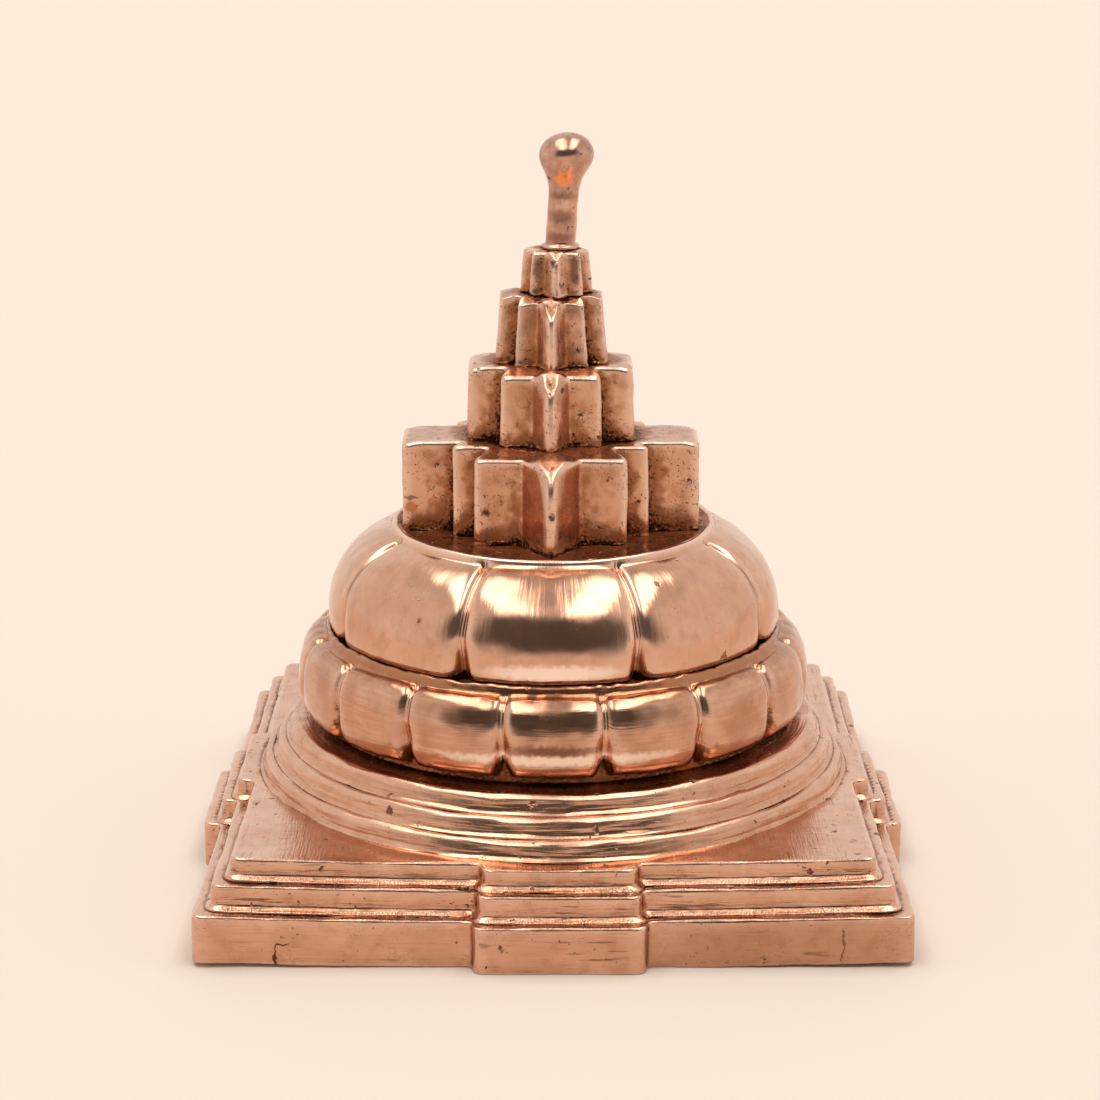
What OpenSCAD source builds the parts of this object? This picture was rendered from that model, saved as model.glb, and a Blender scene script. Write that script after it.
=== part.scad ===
// Meru shri yantra: a stepped copper pyramid of nine enclosures, made as a stack of
// castings on one central shank. The front faces -Y and the base stands on z = 0.

/* [Square base] */
// Side of the lowest slab, without its gates
slab_side = 70.6; // [64:0.2:90]
// How far each slab stands back from the one below
slab_step = 1.8; // [1:0.1:2.4]
// Height of the lowest slab
lower_slab_h = 4.8; // [3.6:0.1:8]
// Height of the middle slab
middle_slab_h = 2.5; // [1.8:0.1:5]
// Height of the top slab
upper_slab_h = 2.1; // [1.8:0.1:5]
// Width of the gate block on each side of the lowest slab
gate_w = 17; // [10:0.5:26]
// How much narrower the gate is on each slab up
gate_narrowing = 0.9; // [0:0.1:2]
// How far a gate block stands out from its slab
gate_out = 1.8; // [1.2:0.1:3]
// Rounding of the upper edges of the slabs
slab_edge_r = 0.45; // [0.2:0.05:0.8]
// Rounding of the upright corners of the slabs
slab_corner_r = 0.6; // [0.3:0.1:1.1]

/* [Three circles] */
// Distance from the foot of the lowest circle to the edge of the top slab
circle_margin = 0.5; // [0.2:0.1:2]
// Height of each circle step
circle_h = 1.9; // [1.6:0.1:4]
// Width of the tread between two circle steps
circle_tread = 1.05; // [0.4:0.05:1.6]
// How far a circle step leans in over its height
circle_draft = 0.4; // [0:0.05:0.8]
// Rounding of the lip of each circle step
circle_edge_r = 0.4; // [0.1:0.05:0.8]

/* [Sixteen petals] */
// Distance from the lip of the top circle to the widest point of the petals
outer_lotus_back = 0.6; // [0:0.1:2]
// Height of the ring of sixteen petals
outer_lotus_h = 9.1; // [6:0.1:12]
// How far the petals bulge past their upper edge
outer_petal_bulge = 2.4; // [1.5:0.1:4]
// Height of the widest point of the petals above the foot of the ring
outer_petal_belly = 3.6; // [2.6:0.1:5]
// Height of the recessed foot below the petals
outer_petal_foot = 1.2; // [0.6:0.1:1.8]
// How far the foot stands back from the widest point of the petals
outer_tuck = 3.2; // [1.5:0.1:5]
// Depth of the groove between two of the sixteen petals
outer_groove = 0.75; // [0.3:0.05:1.2]

/* [Eight petals] */
// Distance from the belly of the sixteen petals to the belly of the eight
inner_lotus_back = 3.3; // [2:0.1:4]
// Height of the dome of eight petals
inner_lotus_h = 11.1; // [8:0.1:14]
// How far the dome closes in from its belly to its rim
inner_petal_bulge = 7.8; // [6:0.1:9]
// Height of the belly of the dome above its foot
inner_petal_belly = 1.3; // [1:0.1:2.6]
// How far the foot of the dome stands back from its belly
inner_tuck = 1.8; // [1:0.1:3]
// Depth of the groove between two of the eight petals
inner_groove = 0.8; // [0.3:0.05:1.2]
// Width of the lip round the star floor
rim_lip_w = 1; // [0.6:0.1:1.6]
// Height of the lip round the star floor
rim_lip = 0.35; // [0.1:0.05:0.8]

/* [Lotus drum] */
// Height of the ledge between the two petal rings
ledge_h = 0.5; // [0.4:0.1:2]
// How far the ledge stands back from the foot of the eight petals
ledge_back = 0.4; // [0.2:0.1:1]

/* [Stars] */
// Distance from the rim to the front and back tips of the largest star
star_margin = 0.3; // [0.2:0.1:2]
// Height of the star of fourteen corners
fourteen_h = 9.6; // [5:0.1:14]
// Height of the outer star of ten corners
outer_ten_h = 7.9; // [5:0.1:14]
// Height of the inner star of ten corners
inner_ten_h = 7.2; // [4:0.1:12]
// Height of the star of eight corners
eight_h = 4.6; // [3:0.1:10]
// How far the walls of a star lean in over its height
star_draft = 0.15; // [0:0.05:0.4]
// Spread of the fillet at the foot of a star
star_foot_r = 0.15; // [0.05:0.05:0.3]
// Bevel of the upper edges of a star
star_edge_r = 0.25; // [0.1:0.05:0.35]

/* [Bindu finial] */
// Height of the finial above the top star
finial_h = 11.9; // [9:0.1:16]
// Radius of the bindu ball
ball_r = 2.8; // [2.2:0.05:3.4]
// Height of the upper, flattened half of the ball
ball_crown = 2.25; // [1.5:0.05:3]
// Radius of the stem below the ball
stem_r = 1.55; // [1.3:0.05:1.9]
// Height over which the stem swells into the ball
stem_swell = 2.05; // [1.4:0.05:2.6]
// How much wider than the stem its foot collar is
collar_out = 0.45; // [0.1:0.05:0.5]
// Height of the foot collar
collar_h = 0.45; // [0.2:0.05:1]
// Radius of the shank that holds the stack together
shank_r = 1; // [0.8:0.05:1.1]

/* [Seats and fastening] */
// Side of the square key that locates each slab, circle step and the drum
base_key = 8; // [6:0.2:12]
// Radius of the round key below each of the three larger stars
star_key_r = 2.6; // [2:0.1:2.8]
// Radius of the round key below the star of eight corners
top_key_r = 1.8; // [1.5:0.05:1.9]
// Height of every key
key_h = 1.2; // [0.6:0.1:1.4]
// Clearance round a key and between the petal rings and their drum
seat_clearance = 0.15; // [0.05:0.05:0.3]
// Clearance round the shank in every bore
shank_clearance = 0.1; // [0.05:0.05:0.2]
// Width of the nut across its flats
nut_flats = 4; // [3.4:0.1:4.6]
// Height of the nut
nut_h = 1.6; // [1:0.1:2]
// Radius of the washer
washer_r = 2.6; // [2.2:0.1:3]
// Thickness of the washer
washer_h = 0.4; // [0.3:0.05:0.6]
// Room round the washer, and between the nut and the standing surface
nut_room = 0.5; // [0.3:0.1:0.8]

/* [Hidden] */
$fn = 64;

// Small overlap that joins a key to the piece that carries it
weld = 0.3;
// How many circle steps there are, and petals in the lower and upper ring
circles = 3;
outer_petals = 16;
inner_petals = 8;

// Colours of the worn cast copper, the brighter petals and the fasteners
cast_copper = [0.72, 0.47, 0.36];
bright_copper = [0.80, 0.55, 0.44];
fastener_brass = [0.78, 0.66, 0.38];

// Seat heights, from the standing surface up
middle_slab_z = lower_slab_h;
upper_slab_z = middle_slab_z + middle_slab_h;
circle_z = upper_slab_z + upper_slab_h;
drum_z = circle_z + circles * circle_h;
ledge_z = drum_z + outer_lotus_h;
inner_lotus_z = ledge_z + ledge_h;
star_z = inner_lotus_z + inner_lotus_h;
outer_ten_z = star_z + fourteen_h;
inner_ten_z = outer_ten_z + outer_ten_h;
eight_z = inner_ten_z + inner_ten_h;
finial_z = eight_z + eight_h;
washer_z = nut_h + nut_room;
recess_h = washer_z + washer_h;

// Radii, from the edge of the base inwards
circle_r = slab_side / 2 - 2 * slab_step - circle_margin;
circle_pitch = circle_draft + circle_tread;
circle_top_r = circle_r - (circles - 1) * circle_pitch - circle_draft;
outer_belly_r = circle_top_r - outer_lotus_back;
inner_belly_r = outer_belly_r - inner_lotus_back;
rim_r = inner_belly_r - inner_petal_bulge;
drum_r = rim_r - seat_clearance;
star_r = drum_r - star_margin;

// Radius of the flat foot of the eight-petal dome, in the middle of a petal
inner_foot_r = inner_belly_r - inner_tuck;
// How far inside the rim the centre of the dome's curve lies
dome_centre_in = 2;
dome_centre_r = rim_r - dome_centre_in;
// Points over the lip round the star floor, as shares of its width and height
lip_shape = [[0.8, 0.6], [0.4, 1], [0, 0.8]];

// Places across one petal, from groove to groove, where its section is worked out
outer_stations = [-1, -0.93, -0.8, -0.5, 0, 0.5, 0.8, 0.93];
inner_stations = [-1, -0.96, -0.88, -0.75, -0.5, -0.25, 0, 0.25, 0.5, 0.75, 0.88, 0.96];
// Share of a petal's half width that stays level before it rolls into the groove
petal_level = 0.6;
// Fullness of the sections of the lower petals and of the dome: 2 is an ellipse, more is squarer
petal_fullness = 2.2;
dome_fullness = 2.05;
// Steps of the curves over and under a petal's belly, and the angle where the tuck ends
crown_steps = 7;
tuck_steps = 4;
tuck_angle = 80;
// Share of the tuck's height that the lower corners of a petal are lifted by
outer_corner_lift = 0.3;
inner_corner_lift = 0.55;

// The star figure is drawn in a circle of 24 parts radius. Four lines cross it in front of the
// centre, and four behind it, and the corners of the stars lie on those lines.
figure_parts = 24;
line_a = 14.8;
line_b = 9.6;
line_c = 6;
line_d = 3.8;
// Ends of the lines, which are corners of a triangle in the figure
end_a = [13.1, line_a];
end_b = [16.9, line_b];
end_c = [23.75, line_c];
end_d = [8.9, line_d];
flank_end = [6, 0];
// How far past the centre the sides of the triangles on lines a and b meet
apex_a = 2.4;
apex_b = 7.5;
// Half width of each star's tip at its root, from the largest star to the smallest
tip_root = [4.6, 3, 2.4, 1.9];
// Height in the figure of the small notch in the flank of the smallest star
flank_notch = 2.2;

// Point at height y on the side of the triangle that stands on line a or b
function on_side_a(y) = [end_a.x * (apex_a + y) / (apex_a + line_a), y];
function on_side_b(y) = [end_b.x * (apex_b + y) / (apex_b + line_b), y];

// A quarter of each star, from its tip to its flank. The corners of a star stand over the
// notches of the star below, and the flanks of the three larger stars are flat.
fourteen_quarter = [[0, figure_parts], [tip_root[0], line_a], end_a, on_side_a(line_b), end_b,
    on_side_b(line_c), end_c];
outer_ten_quarter = [[0, line_a], [tip_root[1], line_b], on_side_a(line_b), on_side_a(line_c),
    on_side_b(line_c)];
inner_ten_quarter = [[0, line_b], [tip_root[2], line_c], on_side_a(line_c), on_side_a(line_d), end_d];
eight_quarter = [[0, line_c], [tip_root[3], line_d], on_side_a(line_d), on_side_a(flank_notch), flank_end];

// Whole outline of a star in millimetres, anticlockwise, from its quarter
function star_outline(quarter) =
    let (mm = star_r / figure_parts, last = len(quarter) - 1,
        right = concat([for (p = quarter) [p.x, -p.y]],
            [for (i = [last:-1:0]) if (quarter[i].y > 0 || i < last) quarter[i]]),
        end = len(right) - 1)
    concat([for (p = right) p * mm], [for (i = [end - 1:-1:1]) [-right[i].x, right[i].y] * mm]);

function unit(v) = v / norm(v);
// Normal of the edge from a to b that points into an anticlockwise outline
function inward(a, b) = unit([a.y - b.y, b.x - a.x]);
// The outline p moved in by the distance d, with mitred corners
function inset(p, d) =
    let (n = len(p))
    [for (i = [0:n - 1])
        let (u = inward(p[(i + n - 1) % n], p[i]), v = inward(p[i], p[(i + 1) % n]))
        p[i] + d * (u + v) / (1 + u * v)];

// A closed skin round the axis, over columns of points that each go once round the wall's section
module ring_skin(columns) {
    n = len(columns[0]);
    points = [for (column = columns) each column];
    faces = [for (c = [0:len(columns) - 1], i = [0:n - 1])
        let (d = (c + 1) % len(columns), j = (i + 1) % n)
        each [[c * n + i, c * n + j, d * n + j], [c * n + i, d * n + j, d * n + i]]];
    polyhedron(points, faces);
}

// Radius at the corners of a hole that has a corner in line with each point of an outline, so
// that its widest flat lies at the radius r
function hole_r(outline, r) =
    let (n = len(outline),
        steps = [for (i = [0:n - 1]) acos(unit(outline[i]) * unit(outline[(i + 1) % n]))])
    r / cos(max(steps) / 2);
// A round edge at the height z, with a corner in line with each point of an outline
function round_edge(outline, r, z) = [for (p = outline) let (q = r * unit(p)) [q.x, q.y, z]];
// The outline moved in by the distance d, at the height z
function outline_edge(outline, d, z) = [for (p = inset(outline, d)) [p.x, p.y, z]];

// A star of height h on z = 0, with the shank's bore, a pocket for the key below it and, where
// upper_key_r isn't 0, a key for the star above it. Its walls lean in between a small fillet and
// a bevel.
module star(quarter, h, lower_key_r, upper_key_r) {
    outline = star_outline(quarter);
    bore_r = hole_r(outline, shank_r + shank_clearance);
    pocket_r = hole_r(outline, lower_key_r + seat_clearance);
    pocket_h = key_h + seat_clearance;
    lean = star_foot_r + star_draft;
    key_top = upper_key_r == 0 ? h : h + key_h;
    key_edges = upper_key_r == 0 ? [] : [for (z = [h, key_top]) round_edge(outline, upper_key_r, z)];
    edges = concat(
        [round_edge(outline, bore_r, pocket_h), round_edge(outline, pocket_r, pocket_h),
            round_edge(outline, pocket_r, 0), outline_edge(outline, 0, 0),
            outline_edge(outline, star_foot_r, star_foot_r), outline_edge(outline, lean, h - star_edge_r),
            outline_edge(outline, lean + star_edge_r, h)],
        key_edges,
        [round_edge(outline, bore_r, key_top)]);
    ring_skin([for (i = [0:len(outline) - 1]) [for (edge = edges) edge[i]]]);
}

// The square key that stands on z = 0
module key() {
    translate([-base_key / 2, -base_key / 2, -weld])
        cube([base_key, base_key, key_h + weld]);
}

// The pocket for such a key, cut upwards from z = 0
module key_pocket() {
    pocket = base_key + 2 * seat_clearance;
    translate([-pocket / 2, -pocket / 2, -weld])
        cube([pocket, pocket, key_h + seat_clearance + weld]);
}

// The bore for the shank through a piece of height h that stands on z = 0
module shank_bore(h) {
    translate([0, 0, -weld])
        cylinder(h = h + key_h + 2 * weld, r = shank_r + shank_clearance);
}

// A rectangle of width w and height h, with its two upper corners rounded
module soft_profile(w, h) {
    translate([-w / 2, 0])
        square([w, h - slab_edge_r]);
    translate([slab_edge_r - w / 2, 0])
        square([w - 2 * slab_edge_r, h]);
    for (side = [-1, 1])
        translate([side * (w / 2 - slab_edge_r), h - slab_edge_r])
            circle(r = slab_edge_r);
}

// A rectangle of x by y with rounded corners
module soft_plan(x, y) {
    square([x - 2 * slab_corner_r, y], center = true);
    square([x, y - 2 * slab_corner_r], center = true);
    for (sx = [-1, 1], sy = [-1, 1])
        translate([sx * (x / 2 - slab_corner_r), sy * (y / 2 - slab_corner_r)])
            circle(r = slab_corner_r);
}

// A block of x by y by h with soft corners and soft upper edges
module soft_block(x, y, h) {
    intersection() {
        linear_extrude(h)
            soft_plan(x, y);
        rotate([90, 0, 0])
            linear_extrude(y, center = true)
                soft_profile(x, h);
        rotate([90, 0, 90])
            linear_extrude(x, center = true)
                soft_profile(y, h);
    }
}

// The slab with this place in the stack, 0 at the bottom: a square with a gate on each side
module slab_body(place, h) {
    side = slab_side - 2 * place * slab_step;
    across = side + 2 * gate_out;
    gate = gate_w - place * gate_narrowing;
    union() {
        soft_block(side, side, h);
        soft_block(across, gate, h);
        soft_block(gate, across, h);
    }
}

// A slab with its key above, its pocket below and the shank's bore
module seated_slab(place, h) {
    color(cast_copper)
        difference() {
            union() {
                slab_body(place, h);
                translate([0, 0, h])
                    key();
            }
            key_pocket();
            shank_bore(h);
        }
}

module bhupura_lower_slab() {
    color(cast_copper)
        difference() {
            union() {
                slab_body(0, lower_slab_h);
                translate([0, 0, lower_slab_h])
                    key();
            }
            translate([0, 0, -weld])
                cylinder(h = recess_h + weld, r = washer_r + nut_room);
            shank_bore(lower_slab_h);
        }
}

module bhupura_middle_slab() {
    translate([0, 0, middle_slab_z])
        seated_slab(1, middle_slab_h);
}

module bhupura_upper_slab() {
    translate([0, 0, upper_slab_z])
        seated_slab(2, upper_slab_h);
}

// The circle step with this place in the stack, 0 at the bottom
module circle_step(place) {
    foot = circle_r - place * circle_pitch;
    top = foot - circle_draft;
    lip = [for (a = [0:30:90]) [top - circle_edge_r * (1 - cos(a)), circle_h - circle_edge_r * (1 - sin(a))]];
    color(cast_copper)
        translate([0, 0, circle_z + place * circle_h])
            difference() {
                union() {
                    rotate_extrude()
                        polygon(concat([[0, 0], [foot, 0]], lip, [[0, circle_h]]));
                    translate([0, 0, circle_h])
                        key();
                }
                key_pocket();
                shank_bore(circle_h);
            }
}

module lower_circle() {
    circle_step(0);
}

module middle_circle() {
    circle_step(1);
}

module upper_circle() {
    circle_step(2);
}

// How far a petal's skin has rolled into the groove at u, which is -1 or 1 in the groove
function roll(u) = let (s = max(0, (abs(u) - petal_level) / (1 - petal_level))) 1 - sqrt(1 - s ^ 2);
// Share of a superellipse's half axis, from the sine or cosine of the angle on it
function bow(value, fullness = petal_fullness) = abs(value) ^ (2 / fullness);

// Section of the sixteen-petal ring at u: foot, tuck, belly, crown and the bore over the drum
function outer_section(u) =
    let (belly = outer_belly_r - outer_groove * roll(u),
        foot_r = belly - outer_tuck,
        crown_r = belly - outer_petal_bulge,
        drop = (outer_petal_belly - outer_petal_foot) * (1 - outer_corner_lift * roll(u)),
        rise = outer_lotus_h - outer_petal_belly)
    concat(
        [[rim_r, 0], [foot_r, 0]],
        [for (k = [tuck_steps:-1:1])
            let (a = tuck_angle * k / tuck_steps)
            [foot_r + outer_tuck * bow(cos(a)), outer_petal_belly - drop * bow(sin(a))]],
        [for (k = [0:crown_steps])
            let (a = 90 * k / crown_steps)
            [crown_r + outer_petal_bulge * bow(cos(a)), outer_petal_belly + rise * bow(sin(a))]],
        [[rim_r, outer_lotus_h]]);

// Section of the eight-petal dome at u: flat foot, tuck, belly, crown, lip and bore
function inner_section(u) =
    let (belly = inner_belly_r - inner_groove * roll(u),
        drop = inner_petal_belly * (1 - inner_corner_lift * roll(u)),
        tuck = belly - inner_foot_r + inner_groove,
        reach = belly - dome_centre_r,
        crown_angle = acos(((dome_centre_in + rim_lip_w) / reach) ^ (dome_fullness / 2)),
        rise = inner_lotus_h - inner_petal_belly)
    concat(
        [[rim_r, 0], [inner_foot_r - inner_groove, 0]],
        [for (k = [tuck_steps:-1:1])
            let (a = tuck_angle * k / tuck_steps)
            [belly - tuck * (1 - cos(a)), inner_petal_belly - drop * sin(a)]],
        [for (k = [0:crown_steps])
            let (a = crown_angle * k / crown_steps)
            [dome_centre_r + reach * bow(cos(a), dome_fullness),
                inner_petal_belly + rise * bow(sin(a), dome_fullness)]],
        [for (q = lip_shape) [rim_r + q.x * rim_lip_w, inner_lotus_h + q.y * rim_lip]]);

// A ring of petals whose sections are swept round the axis, one petal centred on the front
module petal_ring(sections, stations, petals) {
    turn = 360 / petals;
    ring_skin([for (p = [0:petals - 1], k = [0:len(stations) - 1])
        let (a = (p + stations[k] / 2) * turn - 90)
        [for (q = sections[k]) [q.x * cos(a), q.x * sin(a), q.y]]]);
}

module sixteen_petal_ring() {
    color(bright_copper)
        translate([0, 0, drum_z])
            petal_ring([for (u = outer_stations) outer_section(u)], outer_stations, outer_petals);
}

module eight_petal_ring() {
    color(bright_copper)
        translate([0, 0, inner_lotus_z])
            petal_ring([for (u = inner_stations) inner_section(u)], inner_stations, inner_petals);
}

// The drum that carries both petal rings: one from below its ledge, one from above it
module lotus_drum() {
    drum_h = star_z - drum_z;
    color(cast_copper)
        translate([0, 0, drum_z])
            difference() {
                union() {
                    cylinder(h = drum_h, r = drum_r);
                    translate([0, 0, outer_lotus_h])
                        cylinder(h = ledge_h, r = inner_foot_r - inner_groove - ledge_back);
                    translate([0, 0, drum_h - weld])
                        cylinder(h = key_h + weld, r = star_key_r);
                }
                key_pocket();
                shank_bore(drum_h);
            }
}

module fourteen_corner_star() {
    color(cast_copper)
        translate([0, 0, star_z])
            star(fourteen_quarter, fourteen_h, star_key_r, star_key_r);
}

module outer_ten_corner_star() {
    color(cast_copper)
        translate([0, 0, outer_ten_z])
            star(outer_ten_quarter, outer_ten_h, star_key_r, star_key_r);
}

module inner_ten_corner_star() {
    color(cast_copper)
        translate([0, 0, inner_ten_z])
            star(inner_ten_quarter, inner_ten_h, star_key_r, top_key_r);
}

module eight_corner_star() {
    color(cast_copper)
        translate([0, 0, eight_z])
            star(eight_quarter, eight_h, top_key_r, 0);
}

// How sharply the stem swells into the ball, and the steps of that curve
swell_curve = 2.2;
swell_steps = 14;
// Radius of the stem at the distance s below the ball's widest point
function stem_at(s) = stem_r + (ball_r - stem_r) * exp(-(s / stem_swell) ^ swell_curve);

module bindu_finial() {
    belly = finial_h - ball_crown;
    swell = [for (k = [0:swell_steps])
        let (s = (belly - collar_h) * (1 - k / swell_steps))
        [stem_at(s), belly - s]];
    crown = [for (a = [15:15:75]) [ball_r * cos(a), belly + ball_crown * sin(a)]];
    shank_end = nut_room - finial_z;
    color(cast_copper)
        translate([0, 0, finial_z])
            rotate_extrude()
                polygon(concat(
                    [[0, shank_end], [shank_r, shank_end], [shank_r, 0], [stem_r + collar_out, 0],
                        [stem_r + collar_out, collar_h]],
                    swell, crown, [[0, finial_h]]));
}

module shank_washer() {
    color(fastener_brass)
        translate([0, 0, washer_z])
            difference() {
                cylinder(h = washer_h, r = washer_r);
                translate([0, 0, -weld])
                    cylinder(h = washer_h + 2 * weld, r = shank_r + shank_clearance);
            }
}

module shank_nut() {
    color(fastener_brass)
        translate([0, 0, washer_z - nut_h])
            difference() {
                cylinder(h = nut_h, r = nut_flats / sqrt(3), $fn = 6);
                translate([0, 0, -weld])
                    cylinder(h = nut_h + 2 * weld, r = shank_r + shank_clearance / 2);
            }
}

bhupura_lower_slab();
bhupura_middle_slab();
bhupura_upper_slab();
lower_circle();
middle_circle();
upper_circle();
sixteen_petal_ring();
lotus_drum();
eight_petal_ring();
fourteen_corner_star();
outer_ten_corner_star();
inner_ten_corner_star();
eight_corner_star();
bindu_finial();
shank_washer();
shank_nut();
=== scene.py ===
"""Looks of a meru shri yantra: a stepped pyramid of copper castings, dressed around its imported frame.

The castings are modelled again with the soft edges, wobble and tarnish of hand-finished copper. Shapes are
worked out in millimetres, in the frame's own axes, and brought to metres when a piece is finished.
"""

import logging
import math
from dataclasses import dataclass, field, replace
from enum import Enum

import bmesh
import bpy
import numpy as np
from mathutils import Matrix, Vector, noise
from mathutils.bvhtree import BVHTree


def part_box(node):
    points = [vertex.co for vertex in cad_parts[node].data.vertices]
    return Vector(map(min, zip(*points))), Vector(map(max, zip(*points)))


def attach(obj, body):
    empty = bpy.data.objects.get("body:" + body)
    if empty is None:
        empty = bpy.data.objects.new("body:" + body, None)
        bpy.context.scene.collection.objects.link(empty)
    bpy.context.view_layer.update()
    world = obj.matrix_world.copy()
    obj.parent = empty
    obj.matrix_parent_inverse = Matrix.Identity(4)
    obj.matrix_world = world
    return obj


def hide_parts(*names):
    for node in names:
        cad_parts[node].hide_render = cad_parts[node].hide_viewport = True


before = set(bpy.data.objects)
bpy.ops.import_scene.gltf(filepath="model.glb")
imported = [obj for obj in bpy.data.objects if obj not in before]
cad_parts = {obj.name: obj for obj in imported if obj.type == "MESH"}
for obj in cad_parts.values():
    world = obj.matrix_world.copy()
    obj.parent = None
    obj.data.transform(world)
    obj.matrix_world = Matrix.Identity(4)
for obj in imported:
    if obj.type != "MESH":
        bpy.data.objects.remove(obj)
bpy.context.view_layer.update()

log = logging.getLogger("meru")

MM = 0.001
BODY = "root"
CREVICE = "crevice"
WEAR = "wear"

BMesh = bmesh.types.BMesh
NodeTree = bpy.types.NodeTree
Socket = bpy.types.NodeSocket
Point2 = tuple[float, float]
Point3 = tuple[float, float, float]
Colour = tuple[float, float, float, float]


def smooth_step(low: float, high: float, value: float) -> float:
    """Share, from 0 to 1 and with soft ends, by which value has gone from low to high."""
    t = min(max((value - low) / (high - low), 0.0), 1.0)
    return t * t * (3.0 - 2.0 * t)


def ripple(point: Vector, size: float, seed: float = 0.0) -> float:
    """Smooth noise from about -1 to 1 at a point, with bumps of this size and a pattern for each seed."""
    return noise.noise(point / size + Vector((seed, 2.3 * seed, 3.7 * seed)))


def node_box(node: str) -> tuple[Vector, Vector]:
    """Lowest and highest corner of a CAD node, in millimetres."""
    low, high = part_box(node)
    return low / MM, high / MM


class Slot(Enum):
    """Material slots of the record."""

    BRUSHED = "brushed_copper"
    POLISHED = "polished_copper"
    CAST = "cast_copper"
    BRASS = "fastener_brass"


class Graph:
    """Adds nodes to a node tree, each with its values and links in one call."""

    def __init__(self, tree: NodeTree) -> None:
        """Works on the given tree."""
        self.tree = tree

    def feed(self, node: bpy.types.Node, inputs: dict) -> bpy.types.Node:
        """Gives a node its inputs.

        Args:
            node: Node of this tree.
            inputs: Values, or output sockets to link, by the name or number of the input.

        Returns:
            The same node.
        """
        for name, value in inputs.items():
            if isinstance(value, Socket):
                self.tree.links.new(value, node.inputs[name])
            else:
                node.inputs[name].default_value = value
        return node

    def add(self, kind: str, inputs: dict | None = None, **settings: object) -> bpy.types.Node:
        """Adds one node.

        Args:
            kind: Blender's name of the node type.
            inputs: What feed() is to give it.
            settings: Properties of the node.

        Returns:
            The new node.
        """
        node = self.tree.nodes.new(kind)
        for name, value in settings.items():
            setattr(node, name, value)
        return self.feed(node, inputs or {})

    def math(self, operation: str, first: object, second: object = 0.0, third: object = 0.0) -> Socket:
        """Output of a Math node on up to three values or sockets."""
        return self.add("ShaderNodeMath", {0: first, 1: second, 2: third}, operation=operation).outputs[0]

    def vector(self, operation: str, first: object, second: object = (0.0, 0.0, 0.0)) -> Socket:
        """Output of a Vector Math node on one or two vectors or sockets."""
        node = self.add("ShaderNodeVectorMath", {0: first, 1: second}, operation=operation)
        return node.outputs["Value" if operation == "LENGTH" else "Vector"]

    def parts(self, vector: Socket) -> list[Socket]:
        """The three coordinates of a vector."""
        return self.add("ShaderNodeSeparateXYZ", {0: vector}).outputs[:]

    def span(self, value: object, low: object, high: object, start: float = 0.0, end: float = 1.0) -> Socket:
        """Output of a soft Map Range node that takes low to start and high to end."""
        inputs = {"Value": value, "From Min": low, "From Max": high, "To Min": start, "To Max": end}
        return self.add("ShaderNodeMapRange", inputs, interpolation_type="SMOOTHSTEP").outputs["Result"]

    def blend(self, share: object, first: object, second: object) -> Socket:
        """Colour that goes from first to second by a share."""
        return self.add("ShaderNodeMix", {0: share, 6: first, 7: second}, data_type="RGBA").outputs[2]

    def tint(self, colour: object, *layers: tuple[Socket, float, Colour]) -> Socket:
        """Lays layers over a colour.

        Args:
            colour: The colour below.
            layers: Share, strength and colour of each layer.

        Returns:
            The colour with its layers.
        """
        for share, strength, layer in layers:
            colour = self.blend(self.math("MULTIPLY", share, strength), colour, layer)
        return colour

    def total(self, *terms: tuple[Socket, float]) -> Socket:
        """Adds values up.

        Args:
            terms: Each value and its weight.

        Returns:
            The weighted sum.
        """
        result = 0.0
        for value, weight in terms:
            result = self.math("MULTIPLY_ADD", value, weight, result)
        return result

    def mix(self, share: Socket, first: float, second: float) -> Socket:
        """Value that goes from first to second by a share."""
        inputs = {"Value": share, "To Min": first, "To Max": second}
        return self.add("ShaderNodeMapRange", inputs).outputs["Result"]

    def noise(self, vector: Socket, scale: object, detail: float = 2.0) -> Socket:
        """Value of a Noise Texture node."""
        inputs = {"Vector": vector, "Scale": scale, "Detail": detail}
        return self.add("ShaderNodeTexNoise", inputs).outputs["Fac"]

    def group(self, tree: NodeTree, **inputs: object) -> list[Socket]:
        """Outputs of a node group that is given these inputs."""
        return self.add("ShaderNodeGroup", inputs, node_tree=tree).outputs[:]

    def metal(self, colour: Socket, roughness: Socket, height: Socket) -> None:
        """Ends a material in a metal.

        Args:
            colour: Its colour.
            roughness: Its roughness.
            height: Height of its skin in millimetres.
        """
        bump = self.add("ShaderNodeBump", {"Height": height, "Strength": 1.0, "Distance": MM})
        shader = self.add("ShaderNodeBsdfPrincipled", {
            "Base Color": colour, "Roughness": roughness, "Metallic": 1.0, "Normal": bump.outputs[0]})
        self.add("ShaderNodeOutputMaterial", {"Surface": shader.outputs[0]})


def new_material(name: str) -> tuple[bpy.types.Material, Graph, Socket]:
    """Starts a material.

    Args:
        name: Name of the material.

    Returns:
        The material, its empty graph and the place on the piece in millimetres.
    """
    material = bpy.data.materials.new(name)
    material.use_nodes = True
    material.node_tree.nodes.clear()
    graph = Graph(material.node_tree)
    place = graph.add("ShaderNodeMapping", {
        "Vector": graph.add("ShaderNodeTexCoord").outputs["Object"], "Scale": (1.0 / MM,) * 3})
    return material, graph, place.outputs["Vector"]


def new_object(name: str, data: bpy.types.ID) -> bpy.types.Object:
    """Puts a mesh or camera into the scene.

    Args:
        name: Name of the object.
        data: The mesh or camera.

    Returns:
        The new object.
    """
    made = bpy.data.objects.new(name, data)
    bpy.context.scene.collection.objects.link(made)
    return made


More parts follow.
